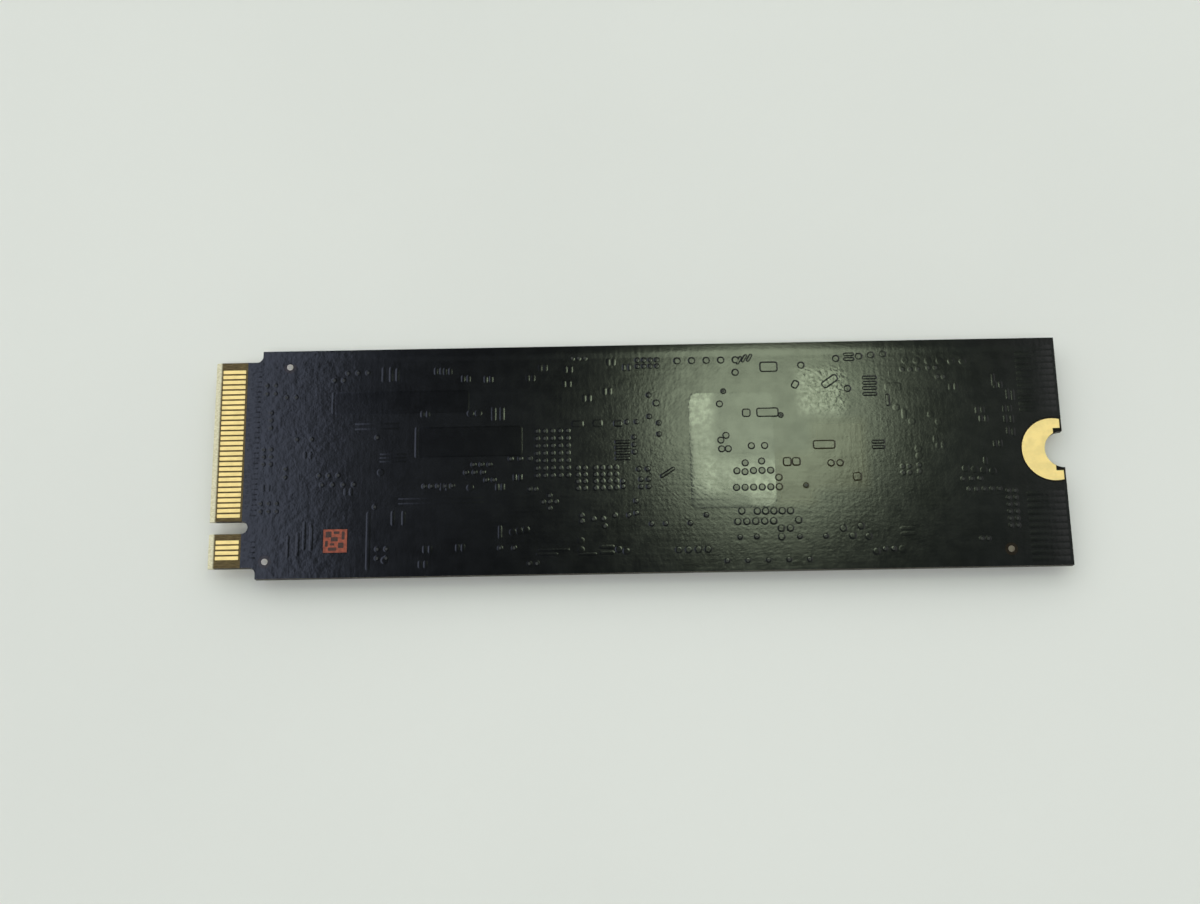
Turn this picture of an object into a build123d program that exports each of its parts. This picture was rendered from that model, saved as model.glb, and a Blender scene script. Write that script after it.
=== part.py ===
from build123d import *
import os

# M.2 solid state drive: a bare card that lies on its memory packages, parts down.
# X runs from the card edge contacts to the screw notch, Z is up, millimetres.

os.makedirs("parts", exist_ok=True)

# Card edge: 75 contact positions, odd ones below and even ones above, half a pitch apart
contact_positions = 75
contact_pitch = 0.5
contact_width = 0.35
contact_length = 2.16
contact_setback = 0.70
contact_side_margin = 0.675
key_first_position = 59
key_last_position = 66
key_width = 1.2
key_depth = 3.6
bevel_length = 0.45
bevel_depth = 0.22
tongue_length = 4.45
shoulder_step = 1.075
shoulder_radius = 0.6

# Layers of the board
laminate_thickness = 0.70
mask_thickness = 0.05
copper_thickness = 0.04
mask_clearance = 0.18

# Screw end: half-round notch in a gold land that is pulled back from the cut edges
notch_radius = 1.75
land_radius = 3.0
land_inset = 0.9
land_edge_gap = 0.18
land_hole_gap = 0.02
land_tip_length = 0.85
land_tip_gap = 0.3
screw_zone_length = 7.45

# Small bare copper marks
fiducial_radius = 0.3
fiducial_window_radius = 0.6
fiducial_side_margin = 1.6
upper_fiducial_from_shoulder = 2.6
lower_fiducial_from_shoulder = 0.85
fiducial_from_card_end = 5.65
code_patch_size = 2.2
code_patch_gap = 0.05
code_patch_from_shoulder = 7.35
code_patch_from_side = 3.45

# Ball-grid packages: the outlines follow from the ball grids
ball_width = 0.4
ball_height = 0.25
substrate_thickness = 0.20
flash_pitch = 1.0
flash_columns = 13
flash_rows = 10
flash_bank_columns = 4
flash_margin_x = 1.0
flash_margin_y = 4.5
flash_cap_thickness = 0.80
controller_pitch = 0.8
controller_balls_a_side = 14
controller_ring_rows = 2
controller_centre_balls = 4
controller_margin = 0.8
controller_cap_thickness = 0.60
memory_pitch = 0.8
memory_columns = 16
memory_rows = 9
memory_bank_rows = 3
memory_margin_x = 0.5
memory_margin_y = 0.8
memory_cap_thickness = 0.55
memory_y = -3.0
package_gap = 1.4

# Leadless chips on pads
pad_thickness = 0.05
pad_length = 0.5
power_chip_size = 5.0
power_chip_height = 0.85
power_pad_pitch = 0.8
power_pad_width = 0.35
power_pads_a_side = 5
load_switch_size = 2.0
load_switch_height = 0.6
load_switch_pad_pitch = 0.65
load_switch_pads_a_side = 3
sensor_length = 1.6
sensor_width = 1.6
sensor_height = 0.55
sensor_pad_pitch = 0.5
sensor_pads_a_side = 3
small_pad_width = 0.25

# Clock crystal
crystal_length = 3.2
crystal_width = 2.5
crystal_base_height = 0.45
crystal_lid_height = 0.3
crystal_lid_margin = 0.15
crystal_lid_corner = 0.25

# Two-terminal parts
end_step = 0.03
inductor_length = 2.5
inductor_width = 2.0
inductor_height = 1.0
inductor_end_length = 0.3
inductors = 4
bulk_length = 3.2
bulk_width = 1.6
bulk_height = 1.1
bulk_end_length = 0.4
large_length = 1.6
large_width = 0.8
large_height = 0.8
large_end_length = 0.35
small_length = 1.0
small_width = 0.5
small_height = 0.5
small_end_length = 0.25
resistor_height = 0.35
coupling_length = 1.0
coupling_width = 0.5
coupling_height = 0.5
coupling_capacitors = 8
coupling_first_position = 12
part_gap = 0.6
small_row_pitch = 1.1
wide_row_pitch = 1.6
power_large_rows = 3
inductor_large_rows = 2
controller_row_count = 8
memory_row_count = 5
gap_stack_count = 4
column_resistors = 4
controller_resistors = 5
crystal_resistors = 4

# Sizes that follow from the contact pattern and the ball grids
tongue_width = (contact_positions - 1) * contact_pitch / 2 + 2 * contact_side_margin
board_width = tongue_width + 2 * shoulder_step
flash_length = (flash_columns - 1) * flash_pitch + 2 * flash_margin_x
flash_width = (flash_rows - 1) * flash_pitch + 2 * flash_margin_y
controller_size = (controller_balls_a_side - 1) * controller_pitch + 2 * controller_margin
memory_length = (memory_columns - 1) * memory_pitch + 2 * memory_margin_x
memory_width = (memory_rows - 1) * memory_pitch + 2 * memory_margin_y

# Columns of parts, each from the card edge to the column's middle
coupling_column = tongue_length + part_gap + coupling_length / 2
power_column = coupling_column + coupling_length / 2 + part_gap + power_chip_size / 2
inductor_column = power_column + power_chip_size / 2 + part_gap + inductor_length / 2
flash_1_column = inductor_column + inductor_length / 2 + part_gap + flash_length / 2
controller_column = flash_1_column + flash_length / 2 + package_gap + controller_size / 2
memory_column = controller_column + controller_size / 2 + package_gap + memory_length / 2
flash_2_column = memory_column + memory_length / 2 + package_gap + flash_length / 2

# The card is as long as its columns and the screw end: 80 mm
board_length = flash_2_column + flash_length / 2 + screw_zone_length
edge_x = -board_length / 2
card_end_x = board_length / 2
shoulder_x = edge_x + tongue_length
side_y = board_width / 2

# Heights: the flash packages are the tallest parts and stand on the table
part_face_z = ball_height + substrate_thickness + flash_cap_thickness
laminate_z = part_face_z + mask_thickness
laminate_top_z = laminate_z + laminate_thickness

bare_fiducials = (
    (shoulder_x + upper_fiducial_from_shoulder, side_y - fiducial_side_margin),
    (shoulder_x + lower_fiducial_from_shoulder, fiducial_side_margin - side_y),
    (card_end_x - fiducial_from_card_end, fiducial_side_margin - side_y),
)
component_fiducials = (bare_fiducials[0], bare_fiducials[2])
code_patch_point = (shoulder_x + code_patch_from_shoulder, code_patch_from_side - side_y)


def contact_y(position):
    """Height of a contact position across the tongue, counted from the upper side."""
    return tongue_width / 2 - contact_side_margin - (position - 1) * contact_pitch / 2


def card_outline():
    """Outline of the card: body, tongue with filleted shoulders, key notch and screw notch."""
    key_y = contact_y((key_first_position + key_last_position) / 2)
    with BuildSketch() as outline:
        with Locations((card_end_x, 0)):
            Rectangle(board_length - tongue_length, board_width, align=(Align.MAX, Align.CENTER))
        with Locations((edge_x, 0)):
            Rectangle(tongue_length, tongue_width, align=(Align.MIN, Align.CENTER))
        shoulder_line = outline.vertices().group_by(Axis.X)[1]
        inner_corners = shoulder_line.sort_by(lambda corner: abs(corner.Y))[:2]
        fillet(inner_corners, min(shoulder_radius, 0.9 * shoulder_step))
        with Locations((edge_x, key_y)):
            Rectangle(
                key_depth - key_width / 2,
                key_width,
                align=(Align.MIN, Align.CENTER),
                mode=Mode.SUBTRACT,
            )
        with Locations((edge_x + key_depth - key_width / 2, key_y)):
            Circle(key_width / 2, mode=Mode.SUBTRACT)
        with Locations((card_end_x, 0)):
            Circle(notch_radius, mode=Mode.SUBTRACT)
    return outline.sketch


def land_outline():
    """Crescent of gold round the screw notch, pulled back from the hole, the edge and its tips."""
    with BuildSketch() as outline:
        with Locations((card_end_x - land_inset, 0)):
            Circle(land_radius)
        with Locations((card_end_x - land_edge_gap, 0)):
            Rectangle(
                2 * land_radius,
                2 * land_radius,
                align=(Align.MIN, Align.CENTER),
                mode=Mode.SUBTRACT,
            )
        with Locations((card_end_x, 0)):
            Circle(notch_radius + land_hole_gap, mode=Mode.SUBTRACT)
            Rectangle(
                2 * land_tip_length,
                2 * (notch_radius + land_tip_gap),
                mode=Mode.SUBTRACT,
            )
    return outline.sketch


def mask_outline(fiducial_points):
    """Solder mask: the card's outline with the tongue, the land and the fiducials left bare."""
    bare_length = contact_setback + contact_length + mask_clearance
    with BuildSketch() as outline:
        add(card_outline())
        with Locations((edge_x, 0)):
            Rectangle(
                bare_length,
                board_width,
                align=(Align.MIN, Align.CENTER),
                mode=Mode.SUBTRACT,
            )
        with Locations((card_end_x - land_inset, 0)):
            Circle(land_radius + mask_clearance, mode=Mode.SUBTRACT)
        with Locations(*fiducial_points):
            Circle(fiducial_window_radius, mode=Mode.SUBTRACT)
    return outline.sketch


# Laminate, with the card edge bevelled on both faces
with BuildPart() as circuit_board:
    with BuildSketch(Plane.XY.offset(laminate_z)):
        add(card_outline())
    extrude(amount=laminate_thickness)
    for flat in (circuit_board.faces().sort_by(Axis.Z)[-1], circuit_board.faces().sort_by(Axis.Z)[0]):
        card_edge = flat.edges().filter_by(Axis.Y).group_by(Axis.X)[0]
        chamfer(card_edge, length=bevel_length, length2=bevel_depth, reference=flat)
circuit_board.part.label = "circuit_board"
export_step(circuit_board.part, "parts/circuit_board.step")

# Solder mask skins
with BuildPart() as mask_bare_side:
    with BuildSketch(Plane.XY.offset(laminate_top_z)):
        add(mask_outline(bare_fiducials))
        with Locations(code_patch_point):
            Rectangle(
                code_patch_size + 2 * code_patch_gap,
                code_patch_size + 2 * code_patch_gap,
                mode=Mode.SUBTRACT,
            )
    extrude(amount=mask_thickness)
mask_bare_side.part.label = "solder_mask_bare_side"
export_step(mask_bare_side.part, "parts/solder_mask_bare_side.step")

with BuildPart() as mask_component_side:
    with BuildSketch(Plane.XY.offset(part_face_z)):
        add(mask_outline(component_fiducials))
    extrude(amount=mask_thickness)
mask_component_side.part.label = "solder_mask_component_side"
export_step(mask_component_side.part, "parts/solder_mask_component_side.step")

# Bare copper and gold on each face: contacts, screw land and fiducials
copper_faces = (
    ("bare_side", laminate_top_z, 0, bare_fiducials),
    ("component_side", laminate_z - copper_thickness, 1, component_fiducials),
)
for side, copper_z, remainder, fiducial_points in copper_faces:
    positions = [
        position
        for position in range(1, contact_positions + 1)
        if position % 2 == remainder and not key_first_position <= position <= key_last_position
    ]
    with BuildPart() as contacts:
        with BuildSketch(Plane.XY.offset(copper_z)):
            with Locations(*[(edge_x + contact_setback, contact_y(position)) for position in positions]):
                Rectangle(contact_length, contact_width, align=(Align.MIN, Align.CENTER))
        extrude(amount=copper_thickness)
    contacts.part.label = f"contact_fingers_{side}"
    export_step(contacts.part, f"parts/contact_fingers_{side}.step")

    with BuildPart() as land:
        with BuildSketch(Plane.XY.offset(copper_z)):
            add(land_outline())
        extrude(amount=copper_thickness)
    land.part.label = f"screw_land_{side}"
    export_step(land.part, f"parts/screw_land_{side}.step")

    with BuildPart() as fiducials:
        with BuildSketch(Plane.XY.offset(copper_z)):
            with Locations(*fiducial_points):
                Circle(fiducial_radius)
        extrude(amount=copper_thickness)
    fiducials.part.label = f"fiducials_{side}"
    export_step(fiducials.part, f"parts/fiducials_{side}.step")

with BuildPart() as code_patch:
    with BuildSketch(Plane.XY.offset(laminate_top_z)):
        with Locations(code_patch_point):
            Rectangle(code_patch_size, code_patch_size)
    extrude(amount=copper_thickness)
code_patch.part.label = "code_patch"
export_step(code_patch.part, "parts/code_patch.step")


def ball_grid_package(name, column, y, length, width, cap_thickness, pitch, banks):
    """Package under the board: solder balls in banks, then its substrate, then its moulded cap.

    A bank is its middle, in pitches from the package's middle, and its columns and rows."""
    centre = (edge_x + column, y)
    substrate_z = part_face_z - ball_height - substrate_thickness
    cap_z = substrate_z - cap_thickness
    with BuildPart() as balls:
        with BuildSketch(Plane.XY.offset(part_face_z - ball_height)):
            for bank_x, bank_y, columns, rows in banks:
                with Locations((centre[0] + bank_x * pitch, centre[1] + bank_y * pitch)):
                    with GridLocations(pitch, pitch, columns, rows):
                        Rectangle(ball_width, ball_width)
        extrude(amount=ball_height)
    balls.part.label = f"{name}_solder_balls"
    export_step(balls.part, f"parts/{name}_solder_balls.step")

    with BuildPart() as substrate:
        with BuildSketch(Plane.XY.offset(substrate_z)):
            with Locations(centre):
                Rectangle(length, width)
        extrude(amount=substrate_thickness)
    substrate.part.label = f"{name}_substrate"
    export_step(substrate.part, f"parts/{name}_substrate.step")

    with BuildPart() as cap:
        with BuildSketch(Plane.XY.offset(cap_z)):
            with Locations(centre):
                Rectangle(length, width)
        extrude(amount=cap_thickness)
    cap.part.label = f"{name}_cap"
    export_step(cap.part, f"parts/{name}_cap.step")


flash_bank_x = (flash_columns - flash_bank_columns) / 2
flash_banks = (
    (-flash_bank_x, 0, flash_bank_columns, flash_rows),
    (flash_bank_x, 0, flash_bank_columns, flash_rows),
)
for flash_name, flash_column in (("flash_1", flash_1_column), ("flash_2", flash_2_column)):
    ball_grid_package(
        flash_name,
        flash_column,
        0,
        flash_length,
        flash_width,
        flash_cap_thickness,
        flash_pitch,
        flash_banks,
    )

# The controller's balls are a ring of rows and a block in the middle
ring_offset = (controller_balls_a_side - controller_ring_rows) / 2
ring_side_rows = controller_balls_a_side - 2 * controller_ring_rows
controller_banks = (
    (0, ring_offset, controller_balls_a_side, controller_ring_rows),
    (0, -ring_offset, controller_balls_a_side, controller_ring_rows),
    (ring_offset, 0, controller_ring_rows, ring_side_rows),
    (-ring_offset, 0, controller_ring_rows, ring_side_rows),
    (0, 0, controller_centre_balls, controller_centre_balls),
)
ball_grid_package(
    "controller",
    controller_column,
    0,
    controller_size,
    controller_size,
    controller_cap_thickness,
    controller_pitch,
    controller_banks,
)

memory_bank_y = (memory_rows - memory_bank_rows) / 2
memory_banks = (
    (0, -memory_bank_y, memory_columns, memory_bank_rows),
    (0, memory_bank_y, memory_columns, memory_bank_rows),
)
ball_grid_package(
    "cache_memory",
    memory_column,
    memory_y,
    memory_length,
    memory_width,
    memory_cap_thickness,
    memory_pitch,
    memory_banks,
)


def leadless_chip(name, column, y, length, width, height, pad_pitch, pad_width, pads, sides):
    """Moulded chip on flat pads: pads along the sides that are turned by the given angles, in degrees,
    and a square one under its middle."""
    centre = (edge_x + column, y)
    middle_pad = min(length, width) - 2 * (pad_length + part_gap / 2)
    with BuildPart() as chip_pads:
        with BuildSketch(Plane.XY.offset(part_face_z - pad_thickness)):
            with Locations(centre):
                for turn in sides:
                    reach = (length if turn % 180 == 0 else width) / 2
                    with Locations(Location((0, 0, 0), (0, 0, turn))):
                        with Locations((reach - pad_length / 2, 0)):
                            with GridLocations(0, pad_pitch, 1, pads):
                                Rectangle(pad_length, pad_width)
                if middle_pad > pad_length:
                    Rectangle(middle_pad, middle_pad)
        extrude(amount=pad_thickness)
    chip_pads.part.label = f"{name}_pads"
    export_step(chip_pads.part, f"parts/{name}_pads.step")

    with BuildPart() as body:
        with BuildSketch(Plane.XY.offset(part_face_z - height)):
            with Locations(centre):
                Rectangle(length, width)
        extrude(amount=height - pad_thickness)
    body.part.label = f"{name}_body"
    export_step(body.part, f"parts/{name}_body.step")


def two_terminal_parts(name, places, length, width, height, end_length, end_name):
    """Group of like parts: each a body between two metal ends that stand a little proud of it.

    A place is x, y and the part's turn about Z, in degrees."""
    seats = [Location((x, y, part_face_z), (0, 0, turn)) for x, y, turn in places]
    with BuildPart() as bodies:
        with Locations(*seats):
            with Locations((0, 0, -end_step)):
                Box(
                    length - 2 * end_length,
                    width - 2 * end_step,
                    height - 2 * end_step,
                    align=(Align.CENTER, Align.CENTER, Align.MAX),
                )
    bodies.part.label = f"{name}_bodies"
    export_step(bodies.part, f"parts/{name}_bodies.step")

    with BuildPart() as ends:
        with Locations(*seats):
            with GridLocations(length - end_length, 0, 2, 1):
                Box(end_length, width, height, align=(Align.CENTER, Align.CENTER, Align.MAX))
    ends.part.label = f"{name}_{end_name}"
    export_step(ends.part, f"parts/{name}_{end_name}.step")


def row_along(column, y, count, pitch, turn):
    """Places in a row along the card, about a column's middle."""
    return [(edge_x + column + (i - (count - 1) / 2) * pitch, y, turn) for i in range(count)]


def stack_across(column, y, count, pitch, turn):
    """Places in a row across the card, from y towards the lower side."""
    return [(edge_x + column, y - i * pitch, turn) for i in range(count)]


# Power column: bulk capacitors and the load switch above the power chip, capacitors below it
bulk_y = power_chip_size / 2 + part_gap + bulk_width / 2
bulk_pitch = bulk_width + part_gap
load_switch_y = bulk_y + bulk_pitch + bulk_width / 2 + part_gap + load_switch_size / 2
large_pitch = large_width + part_gap
power_large_y = -power_chip_size / 2 - part_gap - large_width / 2
power_large_end_y = power_large_y - (power_large_rows - 1) * large_pitch - large_width / 2
low_bulk_y = power_large_end_y - part_gap - bulk_width / 2
leadless_chip(
    "power_chip",
    power_column,
    0,
    power_chip_size,
    power_chip_size,
    power_chip_height,
    power_pad_pitch,
    power_pad_width,
    power_pads_a_side,
    (0, 90, 180, 270),
)
leadless_chip(
    "load_switch",
    power_column,
    load_switch_y,
    load_switch_size,
    load_switch_size,
    load_switch_height,
    load_switch_pad_pitch,
    small_pad_width,
    load_switch_pads_a_side,
    (0, 180),
)
bulk_places = stack_across(power_column, bulk_y + bulk_pitch, 2, bulk_pitch, 0)
bulk_places += stack_across(power_column, low_bulk_y, 1, bulk_pitch, 0)
two_terminal_parts(
    "bulk_capacitor", bulk_places, bulk_length, bulk_width, bulk_height, bulk_end_length, "terminals"
)

# Inductor column, with large capacitors above and below the inductors
inductor_pitch = inductor_width + part_gap
inductor_top_y = (inductors - 1) / 2 * inductor_pitch
inductor_places = stack_across(inductor_column, inductor_top_y, inductors, inductor_pitch, 0)
two_terminal_parts(
    "inductor",
    inductor_places,
    inductor_length,
    inductor_width,
    inductor_height,
    inductor_end_length,
    "terminals",
)
inductor_large_y = inductor_top_y + inductor_width / 2 + part_gap + large_width / 2
outer_large_y = inductor_large_y + (inductor_large_rows - 1) * large_pitch
half_pair = (large_length + part_gap) / 2
screw_large_column = flash_2_column + flash_length / 2 + part_gap + large_width / 2
screw_large_y = land_radius + mask_clearance + part_gap + large_length / 2
screw_large_pitch = large_length + part_gap
large_places = stack_across(inductor_column, outer_large_y, inductor_large_rows, large_pitch, 0)
large_places += stack_across(inductor_column, -inductor_large_y, inductor_large_rows, large_pitch, 0)
large_places += stack_across(power_column - half_pair, power_large_y, power_large_rows, large_pitch, 0)
large_places += stack_across(power_column + half_pair, power_large_y, power_large_rows, large_pitch, 0)
large_places += stack_across(screw_large_column, screw_large_y + screw_large_pitch, 2, screw_large_pitch, 90)
large_places += stack_across(screw_large_column, -screw_large_y, 2, screw_large_pitch, 90)
two_terminal_parts(
    "large_capacitor", large_places, large_length, large_width, large_height, large_end_length, "ends"
)

# Coupling capacitors of the serial lanes behind the contacts, with resistors below them
coupling_pitch = coupling_width + part_gap
coupling_y = contact_y(coupling_first_position)
column_resistor_y = coupling_y - coupling_capacitors * coupling_pitch - part_gap
coupling_places = stack_across(coupling_column, coupling_y, coupling_capacitors, coupling_pitch, 0)
two_terminal_parts(
    "coupling_capacitor",
    coupling_places,
    coupling_length,
    coupling_width,
    coupling_height,
    small_end_length,
    "ends",
)

# Small capacitors round the controller, the cache memory and between the packages
controller_row_y = controller_size / 2 + part_gap + small_length / 2
memory_row_y = memory_width / 2 + part_gap + small_length / 2
gap_stack_pitch = small_length + wide_row_pitch
gap_top_y = (gap_stack_count - 1) / 2 * gap_stack_pitch
small_places = []
for row_y in (controller_row_y, -controller_row_y):
    small_places += row_along(controller_column, row_y, controller_row_count, small_row_pitch, 90)
for row_y in (memory_y + memory_row_y, memory_y - memory_row_y):
    small_places += row_along(memory_column, row_y, memory_row_count, wide_row_pitch, 90)
for package_end in (
    flash_1_column + flash_length / 2,
    controller_column + controller_size / 2,
    memory_column + memory_length / 2,
):
    gap_middle = package_end + package_gap / 2
    small_places += stack_across(gap_middle, gap_top_y, gap_stack_count, gap_stack_pitch, 90)
two_terminal_parts(
    "small_capacitor", small_places, small_length, small_width, small_height, small_end_length, "ends"
)

# Clock crystal and temperature sensor in the space above the cache memory
crystal_column = memory_column - memory_length / 4
sensor_column = memory_column + memory_length / 4
space_y = memory_y + memory_row_y + small_length / 2 + part_gap
crystal_y = space_y + crystal_width / 2
crystal_centre = (edge_x + crystal_column, crystal_y)
with BuildPart() as crystal_base:
    with BuildSketch(Plane.XY.offset(part_face_z - crystal_base_height)):
        with Locations(crystal_centre):
            Rectangle(crystal_length, crystal_width)
    extrude(amount=crystal_base_height)
crystal_base.part.label = "crystal_base"
export_step(crystal_base.part, "parts/crystal_base.step")

with BuildPart() as crystal_lid:
    with BuildSketch(Plane.XY.offset(part_face_z - crystal_base_height - crystal_lid_height)):
        with Locations(crystal_centre):
            Rectangle(crystal_length - 2 * crystal_lid_margin, crystal_width - 2 * crystal_lid_margin)
    extrude(amount=crystal_lid_height)
    chamfer(crystal_lid.edges().filter_by(Axis.Z), length=crystal_lid_corner)
crystal_lid.part.label = "crystal_lid"
export_step(crystal_lid.part, "parts/crystal_lid.step")

leadless_chip(
    "temperature_sensor",
    sensor_column,
    space_y + sensor_width / 2,
    sensor_length,
    sensor_width,
    sensor_height,
    sensor_pad_pitch,
    small_pad_width,
    sensor_pads_a_side,
    (0, 180),
)

# Resistors: below the coupling capacitors, beside the controller and above the crystal
controller_resistor_y = controller_row_y + small_length + part_gap
crystal_resistor_y = space_y + crystal_width + part_gap + small_length / 2
resistor_places = stack_across(coupling_column, column_resistor_y, column_resistors, coupling_pitch, 0)
resistor_places += row_along(
    controller_column, controller_resistor_y, controller_resistors, wide_row_pitch, 90
)
resistor_places += row_along(memory_column, crystal_resistor_y, crystal_resistors, wide_row_pitch, 90)
two_terminal_parts(
    "resistor", resistor_places, small_length, small_width, resistor_height, small_end_length, "ends"
)
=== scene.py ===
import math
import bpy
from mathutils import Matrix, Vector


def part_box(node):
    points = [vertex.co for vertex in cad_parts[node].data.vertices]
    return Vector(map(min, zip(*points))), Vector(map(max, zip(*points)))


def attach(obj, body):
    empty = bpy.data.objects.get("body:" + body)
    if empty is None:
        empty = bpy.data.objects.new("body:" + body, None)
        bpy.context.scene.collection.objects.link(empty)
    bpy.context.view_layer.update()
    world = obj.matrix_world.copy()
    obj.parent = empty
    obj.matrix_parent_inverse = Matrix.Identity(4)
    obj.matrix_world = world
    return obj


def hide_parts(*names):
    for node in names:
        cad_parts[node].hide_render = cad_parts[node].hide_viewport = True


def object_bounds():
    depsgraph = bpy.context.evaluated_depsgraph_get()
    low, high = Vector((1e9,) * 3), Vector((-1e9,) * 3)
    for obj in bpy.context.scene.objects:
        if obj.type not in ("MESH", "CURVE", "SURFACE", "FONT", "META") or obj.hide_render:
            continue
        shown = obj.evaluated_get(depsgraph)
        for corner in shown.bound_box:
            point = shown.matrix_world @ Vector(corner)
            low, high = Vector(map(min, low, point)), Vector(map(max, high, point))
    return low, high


bl_info = {
    "name": "Solid state drive card",
    "version": (1, 0, 0),
    "blender": (4, 5, 0),
    "location": "View3D > Sidebar > Drive card",
    "description": "Dresses the packed drive card: lacquer relief, plating, solder, packages and stage",
    "category": "Object",
}

import bpy
import numpy as np
from mathutils import Matrix, Vector

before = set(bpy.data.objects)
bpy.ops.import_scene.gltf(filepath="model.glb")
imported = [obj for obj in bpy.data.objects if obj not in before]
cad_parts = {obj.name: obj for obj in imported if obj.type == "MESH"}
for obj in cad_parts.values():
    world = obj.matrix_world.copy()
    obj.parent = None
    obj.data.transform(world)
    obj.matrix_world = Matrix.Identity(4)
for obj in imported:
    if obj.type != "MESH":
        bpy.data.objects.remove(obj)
cad_low, cad_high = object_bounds()

MM = 0.001
RIGHT_ANGLE = math.pi / 2

# Camera of the photograph: place and axes in the card's frame, and its lens for a 36 mm wide sensor
CAMERA_PLACE = Vector((-2.97, -34.09, 138.35)) * MM
CAMERA_VIEW = Vector((-0.0037, 0.2460, -0.9693))
CAMERA_UP = Vector((0.0180, 0.9691, 0.2459))
CAMERA_LENS = 44.88
CAMERA_SENSOR = 36.0
CAMERA_CLIP = (0.001, 20.0)

# Table: its reach to each side in metres, and how far below the card it lies in mm
TABLE_REACH = 3.0
TABLE_GAP = 0.01

# Ceiling light: its colour, and the point of the lacquer in mm where it is mirrored towards the camera
LAMP_COLOUR = (0.85, 1.0, 0.68)
GLINT_POINT = (12.2, 3.8)

# Room light over places of the card, in mm: where the edges of a dim window and of a bright strip on its
# near side start and end, where the window turns to another tint or level, and half the width of its middle
WINDOW_LEFT = (-62, -46)
WINDOW_RIGHT = (36, 50)
WINDOW_NEAR = (-70, -52)
WINDOW_FAR = (40, 75)
STRIP_NEAR = (-120, -95)
TINT_TURN = (-25, 25)
CONTACTS_TURN = (-37, -26)
SCREW_END_TURN = (16, 26)
MIDDLE_REACH = 9

# Levels and tints of the room light, and the spans of direction in which it changes
WINDOW_LEVELS = (0.06, 0.12)
MIDDLE_LEVEL = 0.16
STRIP_LEVEL = 4.2
DEPTH_LEVELS = (0.10, 1.30)
DEPTH_SPAN = (-0.7, 0.7)
SIDE_SPAN = (-0.6, 0.6)
HORIZON_SPAN = (0.1, 0.4)
LOWEST_RISE = 0.02
BLUE_TINT = (0.95, 1.02, 1.15)
GREEN_TINT = (1.05, 1.30, 1.05)
CONTACTS_TINT = (1.60, 1.80, 2.40)
LEFT_TINT = (1.42, 1.44, 1.44)
RIGHT_TINT = (0.98, 0.99, 0.96)
HORIZON_TINT = (0.86, 0.89, 0.85)

# Flat places of the lacquer, in mm: low x, low y, high x, high y
ISLAND_SPANS = ((5.15, -4.9, 12.7, 5.9),)
PANEL_SPANS = ((-28.6, 4.7, -15.9, 6.75), (-20.65, 0.35, -10.85, 3.15))

# Pieces on those places: name, finish, step, slope and corner in mm, and spans
FLAT_PLACES = (
    ("copper_island", "bright_lacquer", 0.0025, 0.40, 0.2, ISLAND_SPANS),
    ("blank_panels", "blank_ink", 0.0050, 0.15, 0.2, PANEL_SPANS),
)

# Soft-edged places of the lacquer, in mm: low x, low y, high x, high y. The laminate shines through the
# warm ones, the coarse ones lie on hatched copper, and the glossy ones on the island's thickest copper.
WARM_PLACES = ((16.4, -3.4, 21.6, 3.3), (12.8, -4.9, 16.6, 0.2))
COARSE_PLACES = ((15.4, 3.8, 19.8, 8.4),)
GLOSSY_PLACES = (
    (4.0, -3.6, 7.2, 7.0),
    (4.0, 3.2, 7.0, 7.0),
    (6.6, -3.8, 13.8, -0.4),
    (10.4, -6.0, 13.8, -2.4),
)
PLACE_EDGE = 0.7

# Uneven lacquer by the contacts: where it ends, in mm
UNEVEN_END = (-30, -24)

# Polished places: how far their roughness falls, its floor, and the refractive index of their thin coat
POLISH = 0.05
SMOOTHEST = 0.03
COAT_DENSITY = 2.2

# Profile of a lacquered copper edge: offsets as shares of the slope, heights as shares of the step, and the
# depth of its foot in mm
EDGE_OFFSETS = (1.25, 1.0, 0.3, 0.0, -0.1)
EDGE_HEIGHTS = (-0.2, 0.06, 0.84, 1.0, 1.0)
EDGE_FOOT = 0.002

# Least half width of a covered pad's top as a share of the slope, and largest corner as a share of that half
NARROWEST_TOP = 0.15
ROUNDEST = 0.96

# Height of the copper under the lacquer as a share of the full step, in the stretches between these x in mm
COPPER_BOUNDS = (-24.0, -10.5, -2.0, 24.0, 30.0)
COPPER_SHARES = (0.40, 0.60, 0.42, 1.0, 0.20, 0.34)

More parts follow.
